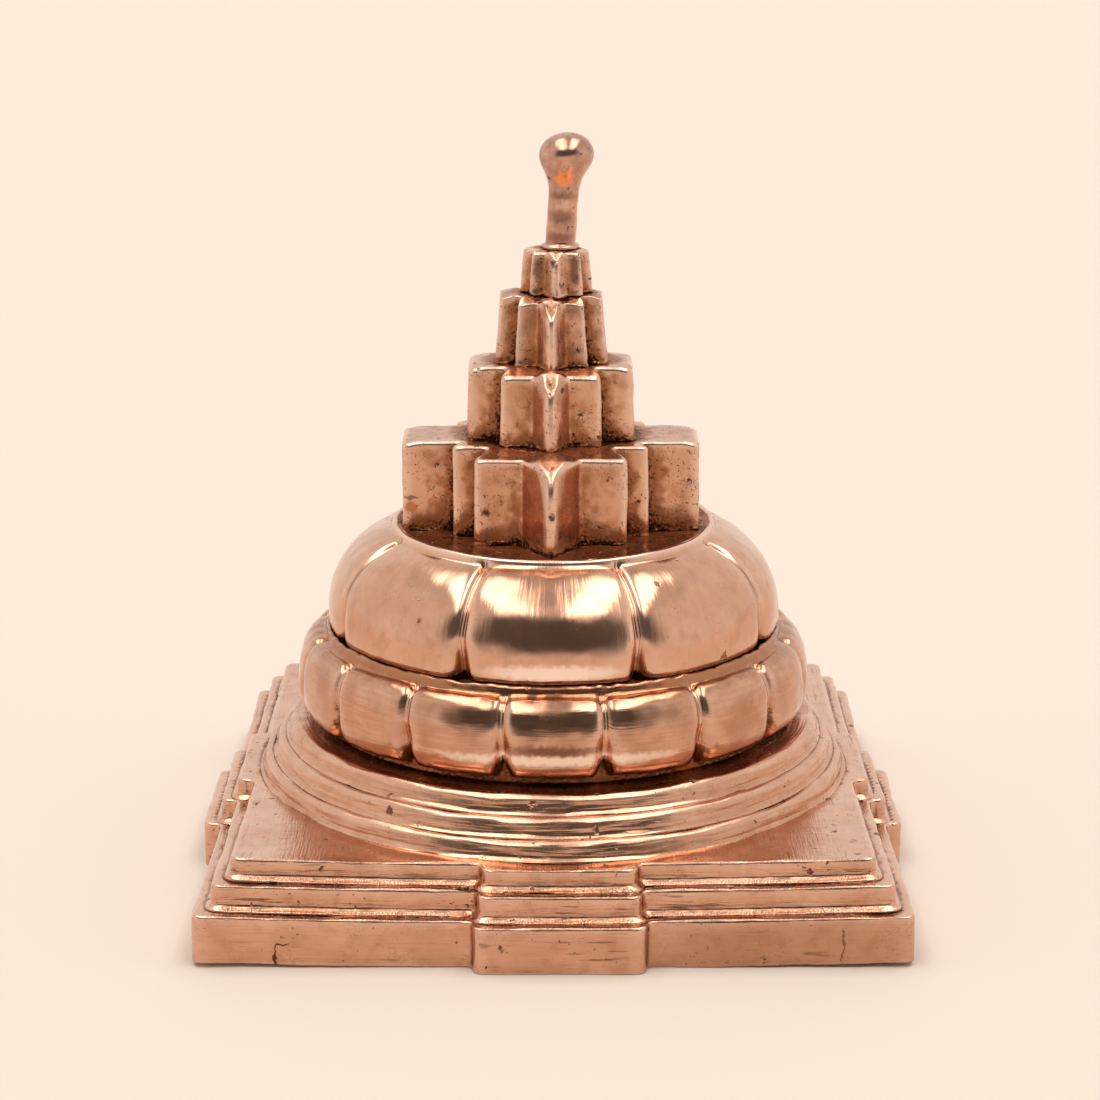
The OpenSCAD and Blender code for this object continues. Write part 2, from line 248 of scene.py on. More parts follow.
def new_mesh(name: str, bm: BMesh) -> bpy.types.Mesh:
    """Turns a finished bmesh into a mesh.

    Args:
        name: Name of the mesh.
        bm: The bmesh, which is freed.

    Returns:
        The new mesh.
    """
    mesh = bpy.data.meshes.new(name)
    bm.to_mesh(mesh)
    bm.free()
    return mesh


def new_group(name: str, inputs: dict[str, float | None],
              outputs: tuple[str, ...]) -> tuple[Graph, dict[str, Socket], bpy.types.Node]:
    """Starts a shader node group.

    Args:
        name: Name of the group.
        inputs: Default value of each input; None makes a vector input.
        outputs: Names of the value outputs.

    Returns:
        The group's graph, its input sockets by name, and its output node.
    """
    tree = bpy.data.node_groups.new(name, "ShaderNodeTree")
    for label, default in inputs.items():
        kind = "NodeSocketVector" if default is None else "NodeSocketFloat"
        socket = tree.interface.new_socket(label, in_out="INPUT", socket_type=kind)
        if default is not None:
            socket.default_value = default
    for label in outputs:
        tree.interface.new_socket(label, in_out="OUTPUT", socket_type="NodeSocketFloat")
    graph = Graph(tree)
    sockets = graph.add("NodeGroupInput").outputs
    return graph, {label: sockets[label] for label in inputs}, graph.add("NodeGroupOutput")


class Effects:
    """Shader node groups that the copper finishes share."""

    def __init__(self) -> None:
        """Builds every group once."""
        self.pits = self.build_pits()
        self.grain = self.build_grain()
        self.strokes = self.build_strokes()
        self.tarnish = self.build_tarnish()

    def build_pits(self) -> NodeTree:
        """Small round casting pits, in clusters.

        Returns:
            A group whose Pits output is 1 in a pit and 0 on sound metal.
        """
        inputs = {"Vector": None, "Spacing": 1.0, "Amount": 0.4}
        graph, given, out = new_group("Casting pits", inputs, ("Pits",))
        scale = graph.math("DIVIDE", 1.0, given["Spacing"])
        ragged = graph.add("ShaderNodeTexNoise", {"Vector": given["Vector"], "Scale": 2.5}).outputs["Color"]
        cells = graph.add("ShaderNodeTexVoronoi", {
            "Vector": graph.vector("ADD", given["Vector"], ragged), "Scale": scale})
        draw = graph.add("ShaderNodeSeparateColor", {"Color": cells.outputs["Color"]})
        cluster = graph.span(graph.noise(given["Vector"], 0.25), 0.38, 0.62)
        present = graph.math("LESS_THAN", draw.outputs[0], graph.math("MULTIPLY", given["Amount"], cluster))
        radius = graph.math("MULTIPLY_ADD", draw.outputs[1], 0.28, 0.1)
        inner = graph.math("MULTIPLY", radius, 0.4)
        hollow = graph.span(cells.outputs["Distance"], inner, radius, 1.0, 0.0)
        graph.feed(out, {"Pits": graph.math("MULTIPLY", hollow, present)})
        return graph.tree

    def build_grain(self) -> NodeTree:
        """Fine marks of brushing or buffing that follow the turned form.

        Returns:
            A group with fine Marks, broad Patches, small Smudges and thin, bent Hairs, all from 0 to 1.
        """
        inputs = {"Vector": None, "Around": 5.0, "Up": 5.0, "Out": 0.0, "Patch": 5.5}
        graph, given, out = new_group("Drawn grain", inputs, ("Marks", "Patches", "Smudges", "Hairs"))
        east, north, up = graph.parts(given["Vector"])
        flat = graph.add("ShaderNodeCombineXYZ", {0: east, 1: north}).outputs[0]
        turned = graph.add("ShaderNodeVectorMath", {
            0: graph.vector("NORMALIZE", flat), "Scale": given["Around"]}, operation="SCALE").outputs[0]
        climb = graph.math("ADD", graph.math("MULTIPLY", up, given["Up"]),
                           graph.math("MULTIPLY", graph.vector("LENGTH", flat), given["Out"]))
        lift = graph.add("ShaderNodeCombineXYZ", {2: climb}).outputs[0]
        marks = graph.noise(graph.vector("ADD", turned, lift), 1.0, 3.0)
        patches = graph.noise(given["Vector"], graph.math("DIVIDE", 1.0, given["Patch"]), 3.0)
        smudges = graph.noise(given["Vector"], 0.6, 5.0)
        bend = graph.math("ABSOLUTE", graph.math("SUBTRACT", graph.noise(given["Vector"], 0.8, 3.0), 0.5))
        hairs = graph.math("MULTIPLY", graph.span(bend, 0.002, 0.014, 1.0, 0.0),
                           graph.span(graph.noise(given["Vector"], 0.35), 0.5, 0.62))
        graph.feed(out, {"Marks": graph.span(marks, 0.3, 0.7), "Patches": graph.span(patches, 0.36, 0.64),
                         "Smudges": graph.span(smudges, 0.45, 0.72), "Hairs": hairs})
        return graph.tree

    def build_strokes(self) -> NodeTree:
        """Straight strokes of a file: level on the front and back, and from front to back elsewhere.

        Returns:
            A group whose fine Marks and dark, drawn-out Smears go from 0 to 1.
        """
        graph, given, out = new_group("File strokes", {"Vector": None, "Facing": None}, ("Marks", "Smears"))
        front = graph.math("GREATER_THAN", graph.math("ABSOLUTE", graph.parts(given["Facing"])[1]), 0.6)
        kinds = (("Marks", 0.25, 5.0, 0.3, 0.7), ("Smears", 0.22, 2.8, 0.6, 0.66))
        for label, long, fine, low, high in kinds:
            across, along = (graph.noise(graph.vector("MULTIPLY", given["Vector"], scale), 1.0, 4.0)
                             for scale in ((long, fine, fine), (fine, long, fine)))
            drawn = graph.add("ShaderNodeMix", {0: front, 2: along, 3: across}).outputs[0]
            share = graph.span(drawn, low, high)
            if label == "Smears":
                patchy = graph.span(graph.noise(given["Vector"], 0.11), 0.45, 0.6)
                share = graph.math("MULTIPLY", share, patchy)
            graph.feed(out, {label: share})
        return graph.tree

    def build_tarnish(self) -> NodeTree:
        """Brown tarnish and black residue that gather where metal is sheltered.

        Returns:
            A group whose Brown and Black shares and lumpy Residue height go from 0 to 1.
        """
        inputs = {"Vector": None, "Crevice": 0.0, "Wear": 0.0, "Brown at": 0.3, "Brown span": 0.3,
                  "Black at": 0.6}
        graph, given, out = new_group("Tarnish", inputs, ("Brown", "Black", "Residue"))
        coarse = graph.math("MULTIPLY_ADD", graph.noise(given["Vector"], 0.9, 4.0), 0.5, -0.25)
        fine = graph.math("MULTIPLY_ADD", graph.noise(given["Vector"], 3.2, 3.0), 0.9, -0.45)
        shelter = graph.math("SUBTRACT", given["Crevice"], graph.math("MULTIPLY", given["Wear"], 0.35))
        brown = graph.span(graph.math("ADD", shelter, coarse), given["Brown at"],
                           graph.math("ADD", given["Brown at"], given["Brown span"]))
        black = graph.span(graph.math("ADD", shelter, fine), given["Black at"],
                           graph.math("ADD", given["Black at"], 0.22))
        cells = graph.add("ShaderNodeTexVoronoi", {"Vector": given["Vector"], "Scale": 2.4})
        sheltered = graph.span(shelter, graph.math("SUBTRACT", given["Black at"], 0.06),
                               graph.math("ADD", given["Black at"], 0.12))
        lumps = graph.math("SUBTRACT", 1.0, cells.outputs["Distance"])
        residue = graph.math("MULTIPLY", sheltered, lumps)
        graph.feed(out, {"Brown": brown, "Black": black, "Residue": residue})
        return graph.tree


@dataclass(frozen=True)
class Mark:
    """One ragged stain or crack in the metal's skin, or a painted reflection band."""

    place: Point3
    reach: Point3
    colour: Colour
    soft: float = 0.2
    strength: float = 1.0

    def share(self, graph: Graph, vector: Socket) -> Socket:
        """How far a place lies in the mark.

        Args:
            graph: The material's graph.
            vector: Place in millimetres.

        Returns:
            1 inside the mark and 0 outside it.
        """
        bent = graph.add("ShaderNodeTexNoise", {"Vector": vector, "Scale": 1.6, "Detail": 3.0})
        moved = graph.vector("ADD", graph.vector("SUBTRACT", bent.outputs["Color"], (0.5, 0.5, 0.5)), vector)
        away = graph.vector("DIVIDE", graph.vector("SUBTRACT", moved, self.place), self.reach)
        return graph.span(graph.vector("LENGTH", away), 1.0 + self.soft, 1.0 - self.soft)


@dataclass(frozen=True)
class CopperFinish:
    """One finish of cast copper, from rough casting skin to buffed metal."""

    name: str
    slot: Slot
    straight: bool = False
    bright: Colour = (0.70, 0.40, 0.27, 1.0)
    dull: Colour = (0.56, 0.295, 0.18, 1.0)
    brown: Colour = (0.37, 0.13, 0.048, 1.0)
    black: Colour = (0.05, 0.021, 0.011, 1.0)
    smear: Colour = (0.12, 0.05, 0.028, 1.0)
    worn: Colour = (0.92, 0.64, 0.51, 1.0)
    worn_share: float = 0.75
    worn_roughness: float = 0.12
    patch_size: float = 5.5
    patch_share: float = 0.6
    roughness: float = 0.2
    tarnish_roughness: float = 0.42
    smudge_roughness: float = 0.08
    pit_spacing: float = 1.6
    pit_amount: float = 0.2
    speck_spacing: float = 0.5
    speck_amount: float = 0.15
    smudge: float = 0.25
    hairs: float = 0.4
    grain_around: float = 5.0
    grain_up: float = 5.0
    grain_out: float = 0.0
    grain_depth: float = 0.006
    grain_stain: float = 0.12
    pit_depth: float = 0.07
    speck_depth: float = 0.028
    skin_depth: float = 0.012
    skin_size: float = 0.5
    residue_depth: float = 0.12
    brown_at: float = 0.2
    brown_span: float = 0.3
    black_at: float = 0.5
    tarnish_share: float = 0.85
    smear_share: float = 0.7
    # Painted sheen: the next five fields make level tops paler towards the sides.
    painted_sheen_from: float = 0.0
    painted_sheen_share: float = 0.25
    painted_sheen_soft: float = 0.6
    painted_sheen_ragged: float = 7.0
    painted_sheen_strokes: Point3 = (0.12, 2.6, 0.3)
    # Stains and cracks, and on the buffed and scuffed finishes also painted reflection bands.
    marks: tuple[Mark, ...] = ()

    def material(self, effects: Effects) -> bpy.types.Material:
        """Builds the finish as a material.

        Args:
            effects: Shared node groups.

        Returns:
            A material that reads Object coordinates and the pieces' crevice and wear attributes.
        """
        material, graph, vector = new_material(self.name)
        crevice = graph.add("ShaderNodeAttribute", attribute_name=CREVICE).outputs["Fac"]
        wear = graph.add("ShaderNodeAttribute", attribute_name=WEAR).outputs["Fac"]

        kinds = ((self.pit_spacing, self.pit_amount), (self.speck_spacing, self.speck_amount))
        pits, specks = (graph.group(effects.pits, Vector=vector, Spacing=spacing, Amount=amount)[0]
                        for spacing, amount in kinds)
        marks, patches, smudges, hairs = graph.group(
            effects.grain, Vector=vector, Around=self.grain_around, Up=self.grain_up, Out=self.grain_out,
            Patch=self.patch_size)
        if self.straight:
            facing = graph.add("ShaderNodeNewGeometry").outputs["True Normal"]
            marks, smears = graph.group(effects.strokes, Vector=vector, Facing=facing)
        brown, black, residue = graph.group(effects.tarnish, Vector=vector, Crevice=crevice, Wear=wear,
                                            **{"Brown at": self.brown_at, "Brown span": self.brown_span,
                                               "Black at": self.black_at})
        hollows = graph.math("MAXIMUM", pits, specks)
        hollows = graph.math("MAXIMUM", hollows, graph.math("MULTIPLY", hairs, self.hairs))

        colour = graph.tint(self.bright, (patches, self.patch_share, self.dull),
                            (smudges, self.smudge, self.brown), (marks, self.grain_stain, self.brown))
        if self.straight:
            colour = graph.tint(colour, (smears, self.smear_share, self.smear))
        # Painted sheen: level tops made paler towards the sides.
        if self.painted_sheen_from:
            colour = self.paint_side_sheen(graph, vector, colour)
        colour = graph.tint(colour, (wear, self.worn_share, self.worn),
                            (brown, self.tarnish_share, self.brown), (black, 1.0, self.black),
                            (hollows, self.tarnish_share, self.black))
        # Stains and cracks, and on some finishes also painted reflection bands.
        for mark in self.marks:
            colour = graph.tint(colour, (mark.share(graph, vector), mark.strength, mark.colour))

        stain = graph.math("MAXIMUM", graph.math("MAXIMUM", brown, black), hollows)
        rough = graph.total((graph.mix(stain, self.roughness, self.tarnish_roughness), 1.0),
                            (smudges, self.smudge_roughness), (wear, self.worn_roughness))
        skin = graph.noise(vector, 1.0 / self.skin_size, 3.0)
        height = graph.total((marks, self.grain_depth), (skin, self.skin_depth), (pits, -self.pit_depth),
                             (specks, -self.speck_depth), (residue, self.residue_depth))
        graph.metal(colour, rough, height)
        return material

    def paint_side_sheen(self, graph: Graph, vector: Socket, colour: Socket) -> Socket:
        """Painted sheen: level tops drawn paler at the sides, with a ragged brushed border.

        Args:
            graph: The material's graph.
            vector: Place in millimetres.
            colour: Colour of the metal so far.

        Returns:
            The colour with the painted sheen on the tops.
        """
        strokes = graph.noise(graph.vector("MULTIPLY", vector, self.painted_sheen_strokes), 1.0, 4.0)
        ragged = graph.math("MULTIPLY", graph.math("SUBTRACT", strokes, 0.5), self.painted_sheen_ragged)
        side = graph.span(graph.math("ADD", graph.math("ABSOLUTE", graph.parts(vector)[0]), ragged),
                          self.painted_sheen_from - self.painted_sheen_soft, self.painted_sheen_from + self.painted_sheen_soft)
        facing = graph.add("ShaderNodeNewGeometry").outputs["True Normal"]
        level = graph.span(graph.parts(facing)[2], 0.75, 0.95)
        # Painted sheen: the worn colour laid over level tops at the sides.
        return graph.tint(colour, (graph.math("MULTIPLY", level, side), self.painted_sheen_share, self.worn))


@dataclass
class Casting:
    """One casting of the stack, which stands for a CAD node."""

    node: str
    finish: CopperFinish
    wobble: float = 0.06
    wobble_size: float = 6.0
    dents: float = 0.03
    seed: float = 1.0

    def build(self) -> BMesh:
        """Makes the casting's mesh in millimetres; each kind of casting has its own."""
        raise NotImplementedError

    def make(self, materials: dict[CopperFinish, bpy.types.Material]) -> bpy.types.Object:
        """Builds, roughens and dresses the casting.

        Args:
            materials: Material of each finish.

        Returns:
            The finished object, at the origin and in metres.
        """
        bm = self.build()
        bmesh.ops.remove_doubles(bm, verts=bm.verts[:], dist=1e-5)
        bmesh.ops.recalc_face_normals(bm, faces=bm.faces[:])
        self.roughen(bm)
        bmesh.ops.scale(bm, vec=(MM, MM, MM), verts=bm.verts[:])
        mesh = new_mesh(self.node, bm)
        mesh.shade_smooth()
        mesh.materials.append(materials[self.finish])
        piece = new_object("cast_" + self.node, mesh)
        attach(piece, BODY)
        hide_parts(self.node)
        log.info("%s: %d faces", piece.name, len(mesh.polygons))
        return piece

    def roughen(self, bm: BMesh) -> None:
        """Gives the skin the slow wobble and the finer dents of a hand-finished casting.

        Args:
            bm: The casting's mesh, which is changed.
        """
        bm.normal_update()
        moves = []
        for vert in bm.verts:
            wave = self.wobble * ripple(vert.co, self.wobble_size, self.seed)
            dent = self.dents * ripple(vert.co, self.wobble_size / 4, self.seed + 0.5)
            moves.append((vert, vert.normal * (wave + dent)))
        base = min(vert.co.z for vert in bm.verts)
        for vert, move in moves:
            vert.co += move
            vert.co.z = max(vert.co.z, base)

    def spun(self, profile: list[Point2], steps: int) -> BMesh:
        """Turns a closed section round the axis.

        Args:
            profile: Radius and height of each point of the section, in order.
            steps: Columns round the axis.

        Returns:
            A closed ring whose vertices know the number of their point, in the layer called row.
        """
        bm = bmesh.new()
        row = bm.verts.layers.int.new("row")
        verts = []
        for number, (radius, height) in enumerate(profile):
            vert = bm.verts.new((0.0, -radius, height))
            vert[row] = number
            verts.append(vert)
        edges = [bm.edges.new((a, b)) for a, b in zip(verts, verts[1:] + verts[:1])]
        bmesh.ops.spin(bm, geom=verts + edges, cent=(0, 0, 0), axis=(0, 0, 1), dvec=(0, 0, 0),
                       angle=2 * math.pi, steps=steps, use_merge=True)
        return bm


def split_edges(bm: BMesh, edges: list[bmesh.types.BMEdge], step: float) -> None:
    """Cuts each edge into lengths of about step millimetres.

    Args:
        bm: Mesh that holds the edges.
        edges: Edges to cut.
        step: Longest length that is left.
    """
    for edge in edges:
        cuts = int(edge.calc_length() / step)
        if cuts:
            bmesh.ops.subdivide_edges(bm, edges=[edge], cuts=cuts)


def soft_outline(points: list[Point2], z: float, convex_r: float, hollow_r: float, step: float) -> BMesh:
    """A flat face with rounded corners.

    Args:
        points: Corners, anticlockwise.
        z: Height of the face.
        convex_r: Radius of the outer corners.
        hollow_r: Radius of the inner corners.
        step: Longest edge that is left.

    Returns:
        A mesh with the one face.
    """
    bm = bmesh.new()
    verts = [bm.verts.new((x, y, z)) for x, y in points]
    bm.faces.new(verts)
    tangents = []
    for before, vert, after in zip(verts[-1:] + verts[:-1], verts, verts[1:] + verts[:1]):
        turn = -(vert.co - before.co).xy.angle_signed((after.co - vert.co).xy)
        tangents.append((convex_r if turn > 0 else hollow_r) * math.tan(abs(turn) / 2))
    for vert, tangent in zip(verts, tangents):
        bmesh.ops.bevel(bm, geom=[vert], offset=tangent, offset_type="OFFSET", segments=4, profile=0.5,
                        affect="VERTICES", clamp_overlap=True, material=-1)
    split_edges(bm, bm.edges[:], step)
    return bm


def raise_face(bm: BMesh, rises: list[float], edge_r: float) -> None:
    """Draws the mesh's one face straight up, closes it below and rounds its upper edge.

    Args:
        bm: Mesh with one flat face.
        rises: Height of each ring of the wall, from the foot.
        edge_r: Rounding of the upper edge.
    """
    top = bm.faces[:][0]
    for number, rise in enumerate(rises):
        drawn = bmesh.ops.extrude_face_region(bm, geom=[top], use_keep_orig=True)["geom"]
        if number:
            bmesh.ops.delete(bm, geom=[top], context="FACES_ONLY")
        raised = [part for part in drawn if isinstance(part, bmesh.types.BMVert)]
        bmesh.ops.translate(bm, vec=(0.0, 0.0, rise), verts=raised)
        top = next(part for part in drawn if isinstance(part, bmesh.types.BMFace))
    bmesh.ops.bevel(bm, geom=top.edges[:], offset=edge_r, offset_type="OFFSET", segments=5, profile=0.5,
                    affect="EDGES", clamp_overlap=True, loop_slide=True, material=-1)
    bmesh.ops.recalc_face_normals(bm, faces=bm.faces[:])
    top = max((face for face in bm.faces if face.normal.z > 0.99), key=lambda face: face.calc_area())
    bmesh.ops.inset_region(bm, faces=[top], thickness=0.3 * edge_r, use_boundary=True, use_even_offset=True)
    cut_grid(bm, top, 1.0)


def cut_grid(bm: BMesh, face: bmesh.types.BMFace, step: float) -> None:
    """Cuts a level face into a grid, so that it can follow a curved top.

    Args:
        bm: Mesh that holds the face.
        face: Face to cut.
        step: Width of a cell.
    """
    low = [min(vert.co[axis] for vert in face.verts) for axis in (0, 1)]
    high = [max(vert.co[axis] for vert in face.verts) for axis in (0, 1)]
    parts: list = [face, *face.edges, *face.verts]
    for axis, heading in ((0, Vector((1.0, 0.0, 0.0))), (1, Vector((0.0, 1.0, 0.0)))):
        count = math.ceil((high[axis] - low[axis]) / step)
        for k in range(1, count):
            place = heading * (low[axis] + (high[axis] - low[axis]) * k / count)
            cut = bmesh.ops.bisect_plane(bm, geom=parts, dist=1e-4, plane_co=place, plane_no=heading)
            parts = cut["geom"]


def flare(bm: BMesh, low_z: float, out: float, height: float) -> None:
    """Spreads the foot of a wall.

    Args:
        bm: Mesh of an upright piece.
        low_z: Height of its foot.
        out: How far the foot spreads.
        height: Height above the foot where the spread ends.
    """
    bm.normal_update()
    moves = []
    for vert in bm.verts:
        level = (vert.co.z - low_z) / height
        side = vert.normal.xy
        if level < 0.99 and side.length > 0.0:
            moves.append((vert, side.normalized().to_3d() * out * (1.0 - level) ** 2))
    for vert, move in moves:
        vert.co += move


@dataclass
class Slab(Casting):
    """A square slab of the bhupura, with a gate block on each side."""

    gate_w: float = 17.0
    gate_out: float = 1.8
    gate_shift: float = 0.6
    key_h: float = 1.2
    corner_r: float = 0.95
    hollow_r: float = 0.8
    edge_r: float = 0.75
    foot_flare: float = 0.8
    foot_h: float = 0.6
    bow: float = 0.7
    step: float = 0.8
    wobble: float = 0.16
    dents: float = 0.07

    def outline(self) -> list[Point2]:
        """Draws the plan.

        Returns:
            Its corner points, anticlockwise from the front left corner.
        """
        half = node_box(self.node)[1].x - self.gate_out
        gate = self.gate_w / 2
        out = half + self.gate_out
        points = []
        for quarter in range(4):
            shift = self.gate_shift if quarter == 0 else 0.0
            turn = Matrix.Rotation(quarter * math.pi / 2, 2)
            side = [(-half, -half), (shift - gate, -half), (shift - gate, -out), (shift + gate, -out),
                    (shift + gate, -half)]
            points += [tuple(turn @ Vector(point)) for point in side]
        return points

    def build(self) -> BMesh:
        """Draws the plan up, with a flared foot, soft upper edges and corners that curl up a little.

        Returns:
            The slab's mesh.
        """
        low, high = node_box(self.node)
        height = high.z - low.z - self.key_h
        bm = soft_outline(self.outline(), low.z, self.corner_r, self.hollow_r, self.step)
        shoulder = self.edge_r + 0.1
        wall = height - self.foot_h - shoulder
        raise_face(bm, [self.foot_h / 5] * 5 + [wall / 4] * 4 + [shoulder], self.edge_r)
        flare(bm, low.z, self.foot_flare, self.foot_h)
        for vert in bm.verts:
            vert.co.z += self.bow * (vert.co.x / high.x) ** 2 * (vert.co.y / high.x) ** 2
        return bm


@dataclass
class CircleStep(Casting):
    """One of the three round steps below the petals."""

    key_h: float = 1.2
    bore_r: float = 1.1
    draft: float = 0.15
    edge_r: float = 0.7
    foot_flare: float = 0.5
    foot_h: float = 0.7
    ridges: float = 0.09
    ridge_turns: float = 7.0
    ridge_w: float = 0.55
    rim_w: float = 3.0
    tread_rings: int = 8
    tread_step: float = 0.25
    wobble: float = 0.18
    wobble_size: float = 8.0
    dents: float = 0.05
    columns: int = 288

    def build(self) -> BMesh:
        """Turns the step's section round the axis and draws long, shallow ridges along it.

        Returns:
            The step's mesh.
        """
        low, high = node_box(self.node)
        height = high.z - low.z - self.key_h
        foot = high.x
        top = foot - self.draft
        r = self.edge_r
        fillet = [(foot + self.foot_flare * (1 - k / 6) ** 2, self.foot_h * k / 6) for k in range(7)]
        wall = [(foot - self.draft * t, self.foot_h + (height - r - self.foot_h) * t) for t in (0.35, 0.7)]
        lip = [(top - r * (1 - math.cos(a)), height - r * (1 - math.sin(a)))
               for a in (math.pi / 2 * k / 6 for k in range(7))]
        tread = [(top - r - self.tread_step * k, height) for k in range(1, self.tread_rings + 1)]
        section = [(self.bore_r, 0.0), (foot - self.rim_w, 0.0), *fillet, *wall, *lip, *tread,
                   (self.bore_r, height)]
        bm = self.spun([(radius, low.z + z) for radius, z in section], self.columns)
        bm.normal_update()
        for vert in bm.verts:
            flat = vert.co.xy
            if flat.length > foot - self.rim_w - 0.5:
                turned = flat.normalized() * self.ridge_turns
                place = Vector((*turned, (vert.co.z - flat.length) / self.ridge_w))
                vert.co += vert.normal * self.ridges * ripple(place, 1.0, self.seed)
        return bm


@dataclass
class PetalRing(Casting):
    """A ring of lotus petals with a beaded groove between each two."""

    petals: int = 8
    columns: int = 48
    belly: float = 1.3
    tuck: float = 0.9
    groove: float = 0.8
    shoulder: float = 1.2
    groove_w: float = 0.42
    bead: float = 0.3
    bead_w: float = 0.15
    corner_r: float = 2.2
    notch: float = 1.0
    notch_w: float = 0.9
    roll_share: float = 0.45
    corner_lift: float = 0.85
    bore_r: float = 16.2
    fullness: float = 2.2
    under_turn: float = 82.0
    notch_fade: float = 0.35
    turn: float = 0.0

    def bow(self, value: float) -> float:
        """Share of a superellipse's half axis for a sine or cosine."""
        return abs(value) ** (2.0 / self.fullness)

    def inward(self, s: float) -> float:
        """Shapes the groove between two petals.

        Args:
            s: Millimetres from the middle of a groove.

        Returns:
            How far the skin lies in.
        """
        roll = self.roll_share * self.groove * math.exp(-s / self.shoulder)
        channel = (1.0 - self.roll_share) * self.groove * math.exp(-((s / self.groove_w) ** 2))
        return roll + channel - self.bead * math.exp(-((s / self.bead_w) ** 2))

    def lift(self, s: float) -> float:
        """Share of the lower lip's drop that its rounded corner takes away at s."""
        reach = max(0.0, 1.0 - s / self.corner_r)
        return self.corner_lift * (1.0 - math.sqrt(1.0 - reach * reach))

    def undercut(self, s: float) -> float:
        """How far the notch between two lower corners lies in at s."""
        return self.notch * math.exp(-((s / self.notch_w) ** 2))

    def section(self, s: float) -> list[Point2]:
        """Closed section of the ring at s; each kind of ring has its own."""
        raise NotImplementedError

    def build(self) -> BMesh:
        """Turns the mid-petal section, then draws every column to its own section.

        Returns:
            The ring's mesh.
        """
        low, high = node_box(self.node)
        half = math.pi / self.petals
        half_w = high.x * half
        bm = self.spun(self.section(half_w), self.petals * self.columns)
        row = bm.verts.layers.int["row"]
        sections: dict[int, list[Point2]] = {}
        for vert in bm.verts:
            angle = math.atan2(vert.co.x, -vert.co.y)
            column = round(angle / (2 * half) * self.columns)
            petal = round(column / self.columns)
            t = 2 * (column - petal * self.columns) / self.columns
            u = 1.5 * t - 0.5 * t ** 3
            key = abs(round(t * self.columns))
            if key not in sections:
                sections[key] = self.section((1.0 - abs(u)) * half_w)
            radius, z = sections[key][vert[row]]
            turn = (2 * petal + u) * half + math.radians(self.turn)
            vert.co = (radius * math.sin(turn), -radius * math.cos(turn), low.z + z)
        return bm


@dataclass
class DomePetals(PetalRing):
    """The dome of eight petals, with a lip round the star floor."""

    rim_w: float = 1.0
    rim_h: float = 0.35
    centre_in: float = 2.0

    def section(self, s: float) -> list[Point2]:
        """Draws the foot, tuck, belly, crown and lip.

        Args:
            s: Millimetres from the middle of a groove.

        Returns:
            Radius and height of each point of the closed section.
        """
        low, high = node_box(self.node)
        belly_r, height = high.x, high.z - low.z - self.rim_h
        foot_r = belly_r - self.tuck - self.groove
        centre = self.bore_r - self.centre_in
        inward = self.inward(s)
        drop = self.belly * (1.0 - self.lift(s))
        reach = belly_r - centre
        rise = height - self.belly
        last = math.acos(((self.centre_in + self.rim_w) / reach) ** (self.fullness / 2))
        notch = self.undercut(s)
        points = [(self.bore_r, 0.0), (foot_r - 0.6 - notch, 0.0), (foot_r - notch, 0.0)]
        under = self.tuck + self.groove - inward
        for k in range(9, 0, -1):
            a = math.radians(self.under_turn) * k / 9
            points.append((belly_r - inward - notch - under * (1 - math.cos(a)),
                           self.belly - drop * math.sin(a)))
        for k in range(25):
            a = last * k / 24
            open_notch = notch * (1.0 - smooth_step(0.0, self.notch_fade, a))
            points.append((centre + (reach - inward) * self.bow(math.cos(a)) - open_notch,
                           self.belly + rise * self.bow(math.sin(a)) - inward * math.sin(a)))
        for k in range(7):
            a = math.pi * k / 6
            points.append((self.bore_r + self.rim_w * (0.5 + 0.42 * math.cos(a)),
                           height + self.rim_h * (0.1 + 0.9 * math.sin(a))))
        return points


@dataclass
class SkirtPetals(PetalRing):
    """The lower ring of sixteen petals on a recessed foot."""

    bulge: float = 2.4
    foot: float = 0.9
    foot_back: float = 0.4
    rim_h: float = 0.95
    rim_in: float = 1.0
    rim_half: float = 0.4
    rim_rough: float = 0.2
    rim_rough_size: float = 1.1
    under_turn: float = 84.0
    notch_fade: float = 0.5

    def build(self) -> BMesh:
        """Builds the ring and leaves its upper lip rough.

        Returns:
            The ring's mesh.
        """
        bm = super().build()
        top = node_box(self.node)[1].z
        for vert in bm.verts:
            share = smooth_step(-self.rim_half, self.rim_half, vert.co.z - top)
            bump = ripple(vert.co, self.rim_rough_size, self.seed)
            vert.co += Vector((0.0, 0.0, self.rim_rough)) * share * bump
        return bm

    def section(self, s: float) -> list[Point2]:
        """Draws the foot, tuck, belly, crown and upper lip.

        Args:
            s: Millimetres from the middle of a groove.

        Returns:
            Radius and height of each point of the closed section.
        """
        low, high = node_box(self.node)
        belly_r, height = high.x, high.z - low.z
        foot_r = belly_r - self.tuck
        crown_r = belly_r - self.bulge
        inward = self.inward(s)
        drop = (self.belly - self.foot) * (1.0 - self.lift(s))
        rise = height - self.belly
        wall_r = foot_r - self.foot_back
        points = [(self.bore_r, 0.0), (wall_r, 0.0)]
        points += [(wall_r, self.foot * k / 4) for k in range(1, 5)]
        notch = self.undercut(s)
        for k in range(8, 0, -1):
            a = math.radians(self.under_turn) * k / 8
            points.append((foot_r - inward - notch + self.tuck * self.bow(math.cos(a)),
                           self.belly - drop * self.bow(math.sin(a))))
        for k in range(21):
            a = math.pi / 2 * k / 20
            inset = inward * math.cos(a) + notch * (1.0 - smooth_step(0.0, self.notch_fade, a))
            points.append((crown_r - inset + self.bulge * self.bow(math.cos(a)),
                           self.belly + rise * self.bow(math.sin(a)) - inward * math.sin(a)))
        for k in range(7):
            a = math.pi * k / 6
            points.append((crown_r - self.rim_in + self.rim_half * math.cos(a),
                           height + self.rim_h * math.sin(a)))
        points.append((self.bore_r, height))
        return points


